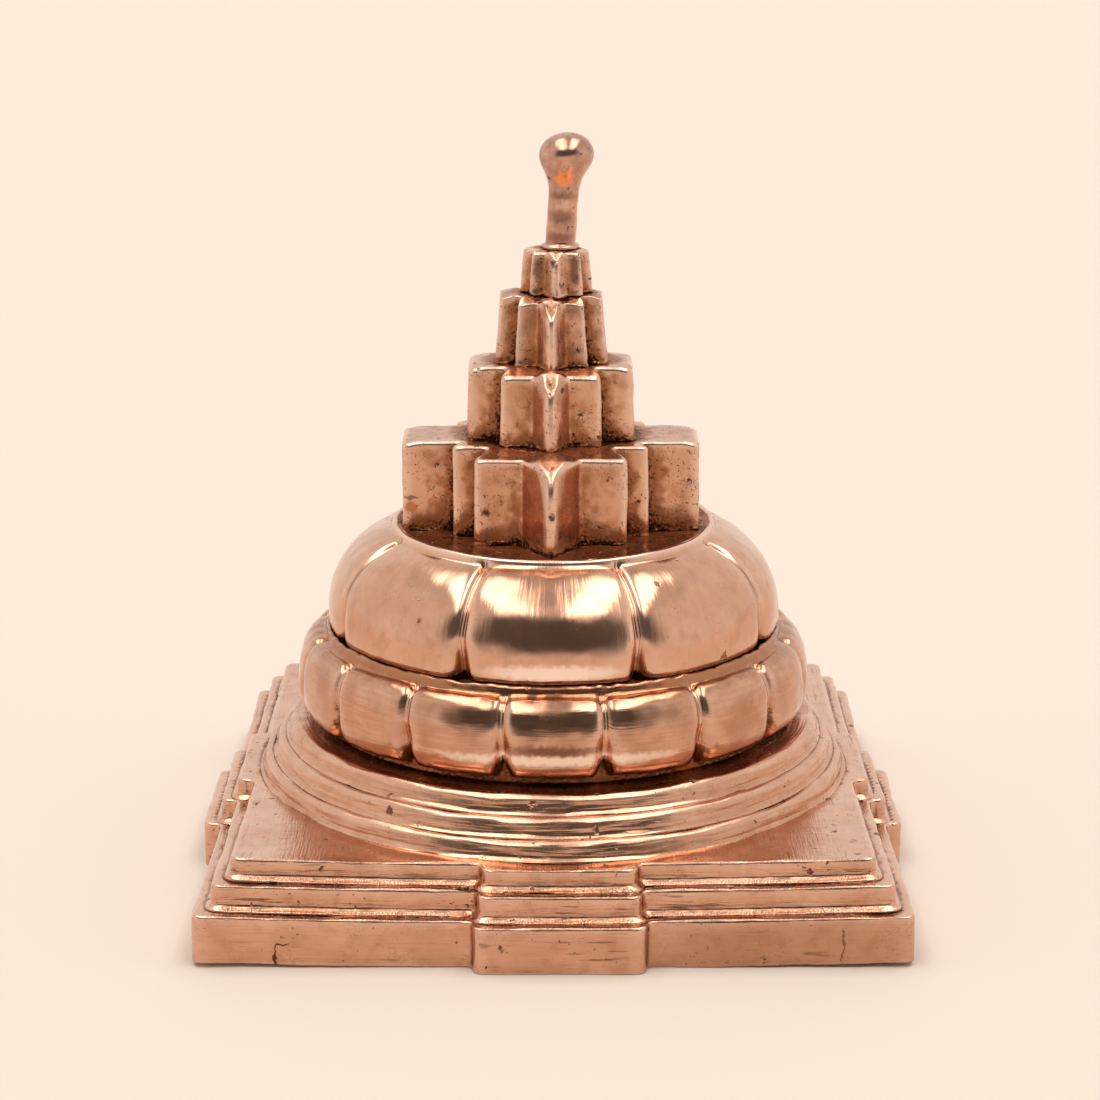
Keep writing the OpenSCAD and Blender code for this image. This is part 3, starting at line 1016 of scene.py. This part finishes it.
@dataclass
class Drum(Casting):
    """The core that carries the petal rings; its top is the star floor."""

    ledge_r: float = 22.6
    wall_out: float = 0.3
    cove: float = 0.45
    key_h: float = 1.2
    bore_r: float = 1.1
    floor_rings: int = 28
    floor_step: float = 0.5
    unevenness: float = 0.12
    columns: int = 160

    def build(self) -> BMesh:
        """Turns the core's section, with a floor in many rings so that it can be uneven.

        Returns:
            The core's mesh.
        """
        low, high = node_box(self.node)
        ledge_low = node_box("sixteen_petal_ring")[1].z
        ledge_high = node_box("eight_petal_ring")[0].z
        floor_z = high.z - self.key_h
        wall_r = node_box("fourteen_corner_star")[1].y + self.wall_out
        floor_r = wall_r + self.cove
        section = [(self.bore_r, low.z), (wall_r, low.z), (wall_r, ledge_low)]
        section += [(self.ledge_r, ledge_low + (ledge_high - ledge_low) * k / 3) for k in range(4)]
        section += [(wall_r, ledge_high), (wall_r, floor_z - 0.5), (floor_r, floor_z - 0.2)]
        section += [(floor_r, floor_z + 0.25), (floor_r - 0.4, floor_z + 0.15)]
        section += [(floor_r - 2 * self.cove - self.floor_step * k, floor_z) for k in range(self.floor_rings)]
        section += [(self.bore_r, floor_z)]
        bm = self.spun(section, self.columns)
        for vert in bm.verts:
            if vert.co.z > floor_z - 0.2:
                vert.co.z += self.unevenness * ripple(vert.co, 1.5, 4.0)
        return bm


class StarCorners(Enum):
    """The four star tiers, from the largest to the smallest."""

    FOURTEEN = 0
    OUTER_TEN = 1
    INNER_TEN = 2
    EIGHT = 3


@dataclass(frozen=True)
class StarFigure:
    """The figure whose lines the stars' corners lie on, in parts of its circle of 24."""

    circle: float = 24.0
    line_a: float = 14.8
    line_b: float = 9.6
    line_c: float = 6.0
    line_d: float = 3.8
    end_a: float = 13.1
    end_b: float = 16.9
    end_c: float = 23.75
    end_d: float = 8.9
    flank: float = 6.0
    flank_notch: float = 2.2
    apex_a: float = 2.4
    apex_b: float = 7.5
    tip_root: tuple[float, ...] = (4.6, 3.0, 2.4, 1.9)

    def on_a(self, y: float) -> Point2:
        """Point at y on the side of the triangle that stands on line a."""
        return self.end_a * (self.apex_a + y) / (self.apex_a + self.line_a), y

    def on_b(self, y: float) -> Point2:
        """Point at y on the side of the triangle that stands on line b."""
        return self.end_b * (self.apex_b + y) / (self.apex_b + self.line_b), y

    def quarter(self, corners: StarCorners) -> list[Point2]:
        """Draws a quarter of one star.

        Args:
            corners: Which star.

        Returns:
            Corner points in the figure's parts, from the tip to the flank.
        """
        a, b, c, d = self.line_a, self.line_b, self.line_c, self.line_d
        root = self.tip_root[corners.value]
        return {
            StarCorners.FOURTEEN: [(0, self.circle), (root, a), (self.end_a, a), self.on_a(b),
                                   (self.end_b, b), self.on_b(c), (self.end_c, c)],
            StarCorners.OUTER_TEN: [(0, a), (root, b), self.on_a(b), self.on_a(c), self.on_b(c)],
            StarCorners.INNER_TEN: [(0, b), (root, c), self.on_a(c), self.on_a(d), (self.end_d, d)],
            StarCorners.EIGHT: [(0, c), (root, d), self.on_a(d), self.on_a(self.flank_notch),
                                (self.flank, 0)],
        }[corners]

    def outline(self, corners: StarCorners, tip: float) -> list[Point2]:
        """Whole outline of a star.

        Args:
            corners: Which star.
            tip: Distance of its front tip from the axis, in millimetres.

        Returns:
            Corner points in millimetres, anticlockwise from the front tip.
        """
        quarter = self.quarter(corners)
        scale = tip / quarter[0][1]
        back = [(x, y) for x, y in reversed(quarter) if y > 0]
        right = [(x, -y) for x, y in quarter] + back
        left = [(-x, y) for x, y in reversed(right[1:-1])]
        return [(x * scale, y * scale) for x, y in right + left]


@dataclass
class Star(Casting):
    """One star tier: leaning walls on a star plan, with worn edges."""

    corners: StarCorners = StarCorners.FOURTEEN
    figure: StarFigure = field(default_factory=StarFigure)
    key_h: float = 1.2
    corner_r: float = 0.75
    hollow_r: float = 0.6
    foot: float = 0.05
    foot_h: float = 0.45
    draft: float = 0.15
    edge_r: float = 0.42
    step: float = 0.4
    droop: float = 0.35
    droop_reach: float = 1.1
    droop_from: float = 0.6
    front_droop: float = 0.6
    front_from: float = 0.66
    tip_droop: float = 1.0
    tip_back: float = 1.3
    tip_curl: int = 6
    residue: float = 0.26
    residue_size: float = 0.6
    shift: float = 0.0
    wobble: float = 0.11
    dents: float = 0.06

    def build(self) -> BMesh:
        """Draws the star plan up, leans its walls in and lowers the tops of its tips and corners.

        Returns:
            The star's mesh.
        """
        low, high = node_box(self.node)
        height = high.z - low.z - self.key_h
        outline = self.figure.outline(self.corners, high.y)
        bm = soft_outline(outline, low.z, self.corner_r, self.hollow_r, self.step)
        shoulder = self.edge_r + 0.1
        wall = height - self.foot_h - shoulder
        rings = round(wall / self.step)
        raise_face(bm, [self.foot_h / 4] * 4 + [wall / rings] * rings + [shoulder], self.edge_r)
        flare(bm, low.z, self.foot, self.foot_h)
        for vert in bm.verts:
            low_share = 1.0 - smooth_step(0.0, 2.0 * self.foot_h, vert.co.z - low.z)
            lump = ripple(vert.co, self.residue_size, self.seed)
            vert.co += vert.normal * self.residue * low_share * lump
        root_x, root_y = abs(outline[1][0]), abs(outline[1][1])
        corners = [Vector(corner) for corner in self.outer_corners(outline)]
        for vert in bm.verts:
            x, y, z = vert.co
            climb = (z - low.z) / height
            near = min((vert.co.xy - corner).length for corner in corners)
            front = smooth_step(self.front_from, 1.0, abs(y) / root_y)
            front *= smooth_step(0.3, 0.9, abs(x) / root_x)
            tip = smooth_step(1.0, high.y / root_y, abs(y) / root_y)
            sink = (self.droop * math.exp(-((near / self.droop_reach) ** 2))
                    + self.front_droop * front + self.tip_droop * tip)
            shrink = 1.0 - self.draft * climb / high.y
            back = self.tip_back * tip * climb ** self.tip_curl
            vert.co = (shrink * x + self.shift, math.copysign(shrink * abs(y) - back, y),
                       z - sink * smooth_step(self.droop_from, 1.0, climb))
        return bm

    @staticmethod
    def outer_corners(outline: list[Point2]) -> list[Point2]:
        """Finds where an outline turns outwards.

        Args:
            outline: Corner points, anticlockwise.

        Returns:
            The points at its outer corners.
        """
        found = []
        for before, point, after in zip(outline[-1:] + outline[:-1], outline, outline[1:] + outline[:1]):
            turn = ((point[0] - before[0]) * (after[1] - point[1])
                    - (point[1] - before[1]) * (after[0] - point[0]))
            if turn > 0:
                found.append(point)
        return found


@dataclass
class Finial(Casting):
    """The bindu: a ball on a stem, in one piece with the long shank."""

    ball_r: float = 2.8
    ball_crown: float = 2.25
    stem_r: float = 1.55
    stem_swell: float = 2.05
    swell_power: float = 2.2
    stem_rings: int = 26
    collar_out: float = 0.45
    collar_h: float = 0.45
    collar_soft: float = 0.12
    shank_r: float = 1.0
    foot_shift: float = 0.7
    lean: float = 0.8
    columns: int = 72

    def build(self) -> BMesh:
        """Turns the section from the shank's end to the crown, then leans the part that shows.

        Returns:
            The finial's mesh.
        """
        low, high = node_box(self.node)
        seat = node_box("eight_corner_star")[1].z
        belly = high.z - self.ball_crown
        section = [(0.0, low.z), (self.shank_r, low.z), (self.shank_r, seat - 0.4), (self.shank_r, seat)]
        foot_r = self.stem_r + self.collar_out
        section += [(foot_r, seat), (foot_r, seat + 0.6 * self.collar_h),
                    (foot_r - self.collar_soft, seat + 0.9 * self.collar_h)]
        for k in range(self.stem_rings):
            s = (belly - seat - self.collar_h) * (1 - k / self.stem_rings)
            swell = (self.ball_r - self.stem_r) * math.exp(-((s / self.stem_swell) ** self.swell_power))
            section.append((self.stem_r + swell, belly - s))
        for k in range(13):
            a = math.pi / 2 * k / 12
            section.append((self.ball_r * math.cos(a), belly + self.ball_crown * math.sin(a)))
        bm = self.spun(section, self.columns)
        for vert in bm.verts:
            if vert.co.z > seat - 0.1:
                vert.co.x += self.foot_shift + self.lean * (vert.co.z - seat) / (high.z - seat)
        return bm


@dataclass
class Weathering:
    """Works out, at every vertex, how sheltered the metal is and how sharply it stands out."""

    reach: float = 4.5
    rays: int = 20
    lift_off: float = 0.03
    wear_radius: float = 0.5
    wear_fade: float = 3.5

    def apply(self, pieces: list[bpy.types.Object]) -> None:
        """Writes the crevice and wear attributes of every piece.

        Args:
            pieces: All the finished castings, which shelter each other.
        """
        tree = self.tree(pieces)
        spread = self.directions()
        for piece in pieces:
            mesh = piece.data
            crevice = np.array([self.shelter(tree, v.co, v.normal, spread) for v in mesh.vertices])
            open_share = np.clip(1.0 - self.wear_fade * crevice, 0.0, 1.0)
            self.store(mesh, CREVICE, crevice)
            self.store(mesh, WEAR, self.wear(mesh) * open_share)

    def tree(self, pieces: list[bpy.types.Object]) -> BVHTree:
        """Gathers the faces of all pieces.

        Args:
            pieces: The finished castings.

        Returns:
            One search tree.
        """
        points, faces = [], []
        for piece in pieces:
            start = len(points)
            points += [vertex.co for vertex in piece.data.vertices]
            faces += [[start + number for number in polygon.vertices] for polygon in piece.data.polygons]
        return BVHTree.FromPolygons(points, faces)

    def directions(self) -> list[Vector]:
        """Spreads rays over a half sphere, closer together round its pole.

        Returns:
            A direction for each ray, with the pole along z.
        """
        spread = []
        for k in range(self.rays):
            radius = math.sqrt((k + 0.5) / self.rays)
            angle = k * math.pi * (3.0 - math.sqrt(5.0))
            spread.append(Vector((radius * math.cos(angle), radius * math.sin(angle),
                                  math.sqrt(1.0 - radius * radius))))
        return spread

    def shelter(self, tree: BVHTree, point: Vector, normal: Vector, spread: list[Vector]) -> float:
        """Measures how much of the sky over a point near metal covers.

        Args:
            tree: Faces of all pieces.
            point: Place on a piece, in metres.
            normal: Its outward direction.
            spread: Directions of the rays.

        Returns:
            The covered share, in which closer metal counts more.
        """
        across = normal.orthogonal().normalized()
        along = normal.cross(across)
        start = point + normal * (self.lift_off * MM)
        covered = 0.0
        for ray in spread:
            heading = across * ray.x + along * ray.y + normal * ray.z
            distance = tree.ray_cast(start, heading, self.reach * MM)[3]
            if distance is not None:
                covered += 1.0 - distance / (self.reach * MM)
        return covered / len(spread)

    def wear(self, mesh: bpy.types.Mesh) -> np.ndarray:
        """Measures how sharply the metal stands out.

        Args:
            mesh: Mesh of a piece.

        Returns:
            A value for each vertex, from 0 on flat or hollow metal to 1 on an edge.
        """
        count = len(mesh.vertices)
        points, normals = np.empty(count * 3), np.empty(count * 3)
        mesh.vertices.foreach_get("co", points)
        mesh.vertices.foreach_get("normal", normals)
        points, normals = points.reshape(-1, 3), normals.reshape(-1, 3)
        first, second = self.links(mesh)
        step = points[second] - points[first]
        turn = ((normals[second] - normals[first]) * step).sum(1) / np.maximum((step * step).sum(1), 1e-12)
        total = np.zeros(count)
        np.maximum.at(total, first, turn)
        np.maximum.at(total, second, turn)
        return np.clip(total * self.wear_radius * MM, 0.0, 1.0)

    @staticmethod
    def links(mesh: bpy.types.Mesh) -> tuple[np.ndarray, np.ndarray]:
        """Looks up the ends of the edges.

        Args:
            mesh: Mesh of a piece.

        Returns:
            Numbers of the first and of the second vertex of every edge.
        """
        ends = np.empty(len(mesh.edges) * 2, dtype=np.int32)
        mesh.edges.foreach_get("vertices", ends)
        return ends[0::2], ends[1::2]

    def store(self, mesh: bpy.types.Mesh, name: str, values: np.ndarray) -> None:
        """Writes one value a vertex, evened out with those of its neighbours.

        Args:
            mesh: Mesh of a piece.
            name: Name of the attribute.
            values: A value for each vertex.
        """
        first, second = self.links(mesh)
        total, count = values.copy(), np.ones(len(values))
        for here, there in ((first, second), (second, first)):
            np.add.at(total, here, values[there])
            np.add.at(count, here, 1.0)
        attribute = mesh.attributes.new(name, "FLOAT", "POINT")
        attribute.data.foreach_set("value", (total / count).astype(np.float32))


@dataclass
class Fasteners:
    """The washer and nut under the base, which keep their CAD shape."""

    nodes: tuple[str, ...] = ("shank_washer", "shank_nut")
    brass: Colour = (0.72, 0.53, 0.22, 1.0)
    shade: Colour = (0.42, 0.27, 0.09, 1.0)

    def dress(self, effects: Effects) -> None:
        """Gives the fasteners turned brass with fine rings.

        Args:
            effects: Shared node groups.
        """
        material, graph, vector = new_material(Slot.BRASS.value)
        marks, patches, *_ = graph.group(effects.grain, Vector=vector, Around=2.0, Up=9.0, Out=9.0)
        colour = graph.blend(graph.math("MULTIPLY", patches, 0.7), self.brass, self.shade)
        graph.metal(colour, graph.mix(marks, 0.24, 0.36), graph.math("MULTIPLY", marks, 0.01))
        for name in self.nodes:
            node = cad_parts[name]
            node.data.materials.clear()
            node.data.materials.append(material)
            log.info("%s: turned brass", name)


@dataclass(frozen=True)
class Window:
    """A soft-edged patch of the light tent."""

    across: float
    up: float
    half_w: float
    half_h: float
    strength: float
    soft: float = 0.3

    def share(self, graph: Graph, across: Socket, up: Socket) -> Socket:
        """How far a direction lies in the patch.

        Args:
            graph: The world's graph.
            across: First coordinate of the direction, in the patch's own units.
            up: Second coordinate of the direction.

        Returns:
            1 inside the patch and 0 outside it.
        """
        total = 0.0
        for place, centre, half in ((across, self.across, self.half_w), (up, self.up, self.half_h)):
            offset = graph.math("DIVIDE", graph.math("SUBTRACT", place, centre), half)
            total = graph.math("ADD", total, graph.math("POWER", offset, 4.0))
        return graph.span(graph.math("POWER", total, 0.25), 1.0 + self.soft, 1.0 - self.soft)


@dataclass
class Studio:
    """Pale floor, light tent with a dark opening on the viewer's side, and the camera."""

    camera_place: Point3 = (-0.33, -297.87, 114.45)
    camera_pitch: float = 15.36
    lens: float = 94.94
    sensor: float = 36.0
    floor_half: float = 4.0
    floor_colour: Colour = (0.68, 0.605, 0.545, 1.0)
    floor_roughness: float = 0.9
    floor_shine: float = 0.1
    view_end: float = 50.0
    tent: Colour = (1.0, 0.94, 0.88, 1.0)
    side_level: float = 0.98
    top_level: float = 0.55
    boxes: tuple[Window, ...] = (Window(-0.36, -0.2, 0.22, 0.7, 3.6), Window(0.36, -0.2, 0.22, 0.7, 3.6))
    opening: Window = Window(0.0, 0.44, 0.87, 0.40, 0.88)

    def build(self) -> None:
        """Makes the floor, the light and the camera."""
        self.floor()
        self.light()
        self.camera()

    def floor(self) -> None:
        """A wide plain floor that fills the view."""
        bm = bmesh.new()
        bmesh.ops.create_grid(bm, x_segments=8, y_segments=8, size=self.floor_half)
        mesh = new_mesh("floor", bm)
        material = bpy.data.materials.new("pale_floor")
        material.use_nodes = True
        shader = material.node_tree.nodes["Principled BSDF"]
        shader.inputs["Base Color"].default_value = self.floor_colour
        shader.inputs["Roughness"].default_value = self.floor_roughness
        shader.inputs["Specular IOR Level"].default_value = self.floor_shine
        mesh.materials.append(material)
        floor = new_object("floor", mesh)

    def light(self) -> None:
        """A tent of soft light, with two long boxes overhead and a dark opening towards the viewer."""
        world = bpy.data.worlds.new("light_tent")
        bpy.context.scene.world = world
        world.use_nodes = True
        world.node_tree.nodes.clear()
        graph = Graph(world.node_tree)
        heading = graph.add("ShaderNodeTexCoord").outputs["Generated"]
        east, north, rise = graph.parts(heading)
        level = graph.span(rise, 0.6, 0.95, self.side_level, self.top_level)
        overhead = graph.math("MAXIMUM", rise, 0.05)
        ceiling = [graph.math("DIVIDE", axis, overhead) for axis in (east, north)]
        for box in self.boxes:
            lit = graph.math("MULTIPLY", box.share(graph, *ceiling), box.strength)
            level = graph.math("ADD", level, lit)
        bearing = graph.math("ARCTAN2", east, graph.math("MULTIPLY", north, -1.0))
        shade = self.opening.share(graph, bearing, graph.math("ARCSINE", rise))
        shade = graph.math("MULTIPLY", shade, self.opening.strength)
        level = graph.math("MULTIPLY", level, graph.math("SUBTRACT", 1.0, shade))
        back = graph.add("ShaderNodeBackground", {"Color": self.tent, "Strength": level})
        graph.add("ShaderNodeOutputWorld", {"Surface": back.outputs[0]})
        bpy.context.scene.view_settings.view_transform = "Standard"

    def camera(self) -> None:
        """A camera at the photograph's angle."""
        data = bpy.data.cameras.new("camera")
        data.lens = self.lens
        data.sensor_width = self.sensor
        data.clip_end = self.view_end
        camera = new_object("camera", data)
        camera.location = Vector(self.camera_place) * MM
        camera.rotation_euler = (math.radians(90.0 - self.camera_pitch), 0.0, 0.0)
        bpy.context.scene.camera = camera


RIM_Z = node_box("sixteen_petal_ring")[1].z + 0.45
CRACK = (0.13, 0.04, 0.022, 1.0)
# Dark stains on most pieces; on the front of the sixteen petals also a painted dark reflection.
STAIN_AND_DARK_REFLECTION = (0.2, 0.085, 0.055, 1.0)
DULLED = (0.36, 0.18, 0.1, 1.0)
RUST = (0.36, 0.14, 0.06, 1.0)
# Painted reflection: a pale colour laid where the metal should show a bright reflection.
PAINTED_PALE_REFLECTION = (1.0, 0.8, 0.66, 1.0)
FILED = CopperFinish(
    "filed_copper", Slot.BRUSHED, straight=True, roughness=0.15, worn_share=0.4, worn_roughness=0.0,
    pit_amount=0.25, speck_amount=0.25, smudge=0.3, hairs=0.3, grain_depth=0.012, grain_stain=0.16,
    # Painted sheen: level tops drawn paler beyond 26.5 mm from the middle.
    brown_at=0.28, brown_span=0.25, black_at=0.42, painted_sheen_from=26.5,
    marks=(Mark((-27.2, -35.4, 1.0), (0.16, 1.0, 1.5), CRACK),
           Mark((-26.6, -35.4, 2.4), (0.7, 1.0, 0.12), CRACK),
           Mark((28.3, -35.4, 2.2), (0.14, 1.0, 1.8), CRACK),
           Mark((22.0, -35.4, 2.0), (13.0, 2.5, 3.2), DULLED, 0.6, 0.5)))
TURNED = CopperFinish(
    "turned_copper", Slot.BRUSHED, black=(0.12, 0.045, 0.02, 1.0), worn_share=0.35, roughness=0.17,
    speck_amount=0.12, grain_around=3.5, grain_out=5.0, grain_depth=0.02, grain_stain=0.35, brown_at=0.24,
    brown_span=0.25, black_at=0.46)
BUFFED = CopperFinish(
    "buffed_copper", Slot.POLISHED, black=(0.2, 0.075, 0.033, 1.0), roughness=0.12, pit_spacing=2.2,
    pit_amount=0.15, speck_amount=0.0, hairs=0.3, grain_around=60.0, grain_up=0.25, grain_depth=0.005,
    grain_stain=0.06, skin_depth=0.006, skin_size=1.2, brown_at=0.18, brown_span=0.2, black_at=0.45,
    # Painted reflection: a pale patch low on the front of the dome stands in for a bright floor reflection.
    marks=(Mark((0.0, -24.6, 26.4), (7.2, 3.0, 0.8), PAINTED_PALE_REFLECTION, 0.5, 0.85),))
SCUFFED = replace(
    BUFFED, name="scuffed_copper", bright=(0.64, 0.35, 0.225, 1.0), dull=(0.42, 0.205, 0.12, 1.0),
    patch_size=3.0, roughness=0.13, grain_around=4.0, grain_up=4.0, grain_out=2.0, grain_depth=0.006,
    grain_stain=0.3,
    marks=(Mark((0.0, 0.0, RIM_Z), (40.0, 40.0, 0.95), RUST, 0.5, 0.85),
           # Painted reflection: a dark band above the belly and a pale band at the belly of the front petals
           # stand in for the dark opening's reflection and a bright floor reflection.
           Mark((0.0, -27.0, 19.5), (4.2, 6.0, 0.5), STAIN_AND_DARK_REFLECTION, 0.6, 0.95),
           Mark((0.0, -27.0, 18.4), (12.0, 9.0, 0.5), PAINTED_PALE_REFLECTION, 0.5, 0.7)))
ROUGH = CopperFinish(
    "rough_copper", Slot.CAST, bright=(0.64, 0.355, 0.228, 1.0), dull=(0.45, 0.22, 0.125, 1.0),
    roughness=0.17, pit_spacing=1.3, pit_amount=0.5, speck_spacing=0.4, speck_amount=0.95, smudge=0.5,
    hairs=0.8, grain_around=22.0, grain_up=0.5, skin_depth=0.01, brown_at=0.0, brown_span=0.22,
    black_at=0.24, residue_depth=0.16,
    marks=(Mark((-14.9, -4.0, 38.3), (0.7, 1.0, 0.75), (0.45, 0.15, 0.05, 1.0), 0.3, 0.85),
           Mark((-14.9, -4.0, 39.4), (0.8, 1.0, 0.2), STAIN_AND_DARK_REFLECTION, 0.4, 0.8)))
FLOOR = replace(ROUGH, name="floor_copper", black=(0.14, 0.055, 0.025, 1.0), black_at=0.4)
DARKENED = replace(
    ROUGH, name="darkened_copper", bright=(0.60, 0.325, 0.21, 1.0), dull=(0.25, 0.11, 0.06, 1.0),
    patch_size=2.2, patch_share=0.8,
    marks=(Mark((-1.5, -2.5, 63.0), (0.5, 1.0, 1.2), STAIN_AND_DARK_REFLECTION, 0.5, 0.8),
           Mark((2.2, -2.5, 63.0), (0.45, 1.0, 1.4), STAIN_AND_DARK_REFLECTION, 0.5, 0.8)))
HANDLED = CopperFinish(
    "handled_copper", Slot.POLISHED, bright=(0.60, 0.325, 0.22, 1.0), dull=(0.22, 0.10, 0.07, 1.0),
    patch_size=1.8, patch_share=0.75, roughness=0.17, smudge=0.5, speck_amount=0.2, grain_around=2.2,
    grain_up=1.7, grain_stain=0.3, grain_depth=0.004, skin_size=0.8,
    marks=(Mark((0.9, -1.6, 70.7), (1.4, 1.2, 0.4), STAIN_AND_DARK_REFLECTION, 0.7, 0.75),
           Mark((0.7, -1.6, 68.5), (1.3, 1.2, 0.7), STAIN_AND_DARK_REFLECTION, 0.7, 0.75),
           Mark((0.5, -1.7, 66.4), (1.6, 1.2, 0.5), STAIN_AND_DARK_REFLECTION, 0.7, 0.75),
           Mark((1.2, -1.9, 72.5), (0.95, 1.0, 0.8), (0.85, 0.30, 0.10, 1.0), 0.3, 0.9)))


def castings() -> list[Casting]:
    """Lists the castings of the stack.

    Returns:
        Every casting, from the base up.
    """
    return [
        Slab("bhupura_lower_slab", FILED, seed=1.0, foot_flare=0.0),
        Slab("bhupura_middle_slab", FILED, seed=2.0, gate_w=16.1),
        Slab("bhupura_upper_slab", FILED, seed=3.0, gate_w=15.2),
        CircleStep("lower_circle", TURNED, seed=4.0),
        CircleStep("middle_circle", TURNED, seed=5.0),
        CircleStep("upper_circle", TURNED, seed=6.0),
        SkirtPetals("sixteen_petal_ring", SCUFFED, seed=7.0, wobble=0.12, dents=0.06, petals=16, columns=28,
                    belly=3.6, tuck=2.2, groove=0.75, shoulder=0.8, corner_r=1.4, notch=0.7),
        Drum("lotus_drum", FLOOR, seed=8.0),
        DomePetals("eight_petal_ring", BUFFED, seed=9.0, wobble=0.14, wobble_size=8.0, dents=0.05, tuck=0.4,
                   turn=-0.9),
        Star("fourteen_corner_star", ROUGH, seed=10.0, corners=StarCorners.FOURTEEN, shift=-0.25, draft=0.1,
             edge_r=0.55),
        Star("outer_ten_corner_star", ROUGH, seed=11.0, corners=StarCorners.OUTER_TEN, shift=-0.25,
             draft=0.3, edge_r=0.5),
        Star("inner_ten_corner_star", DARKENED, seed=12.0, corners=StarCorners.INNER_TEN, shift=-0.2,
             step=0.35, draft=0.6, corner_r=0.5, edge_r=0.36, hollow_r=0.45, tip_back=0.9),
        Star("eight_corner_star", DARKENED, seed=13.0, corners=StarCorners.EIGHT, shift=0.3, key_h=0.0,
             step=0.3, draft=0.4, corner_r=0.4, edge_r=0.3, hollow_r=0.35, droop=0.1, front_droop=0.2,
             tip_droop=0.4, tip_back=0.5),
        Finial("bindu_finial", HANDLED, seed=14.0, wobble=0.08, wobble_size=2.5),
    ]


def main() -> None:
    """Builds every piece, weathers it and lights it."""
    logging.basicConfig(level=logging.INFO, format="%(message)s")
    effects = Effects()
    stack = castings()
    finishes = dict.fromkeys(casting.finish for casting in stack)
    materials = {finish: finish.material(effects) for finish in finishes}
    pieces = [casting.make(materials) for casting in stack]
    Weathering().apply(pieces)
    Fasteners().dress(effects)
    Studio().build()


if __name__ == "__main__":
    main()
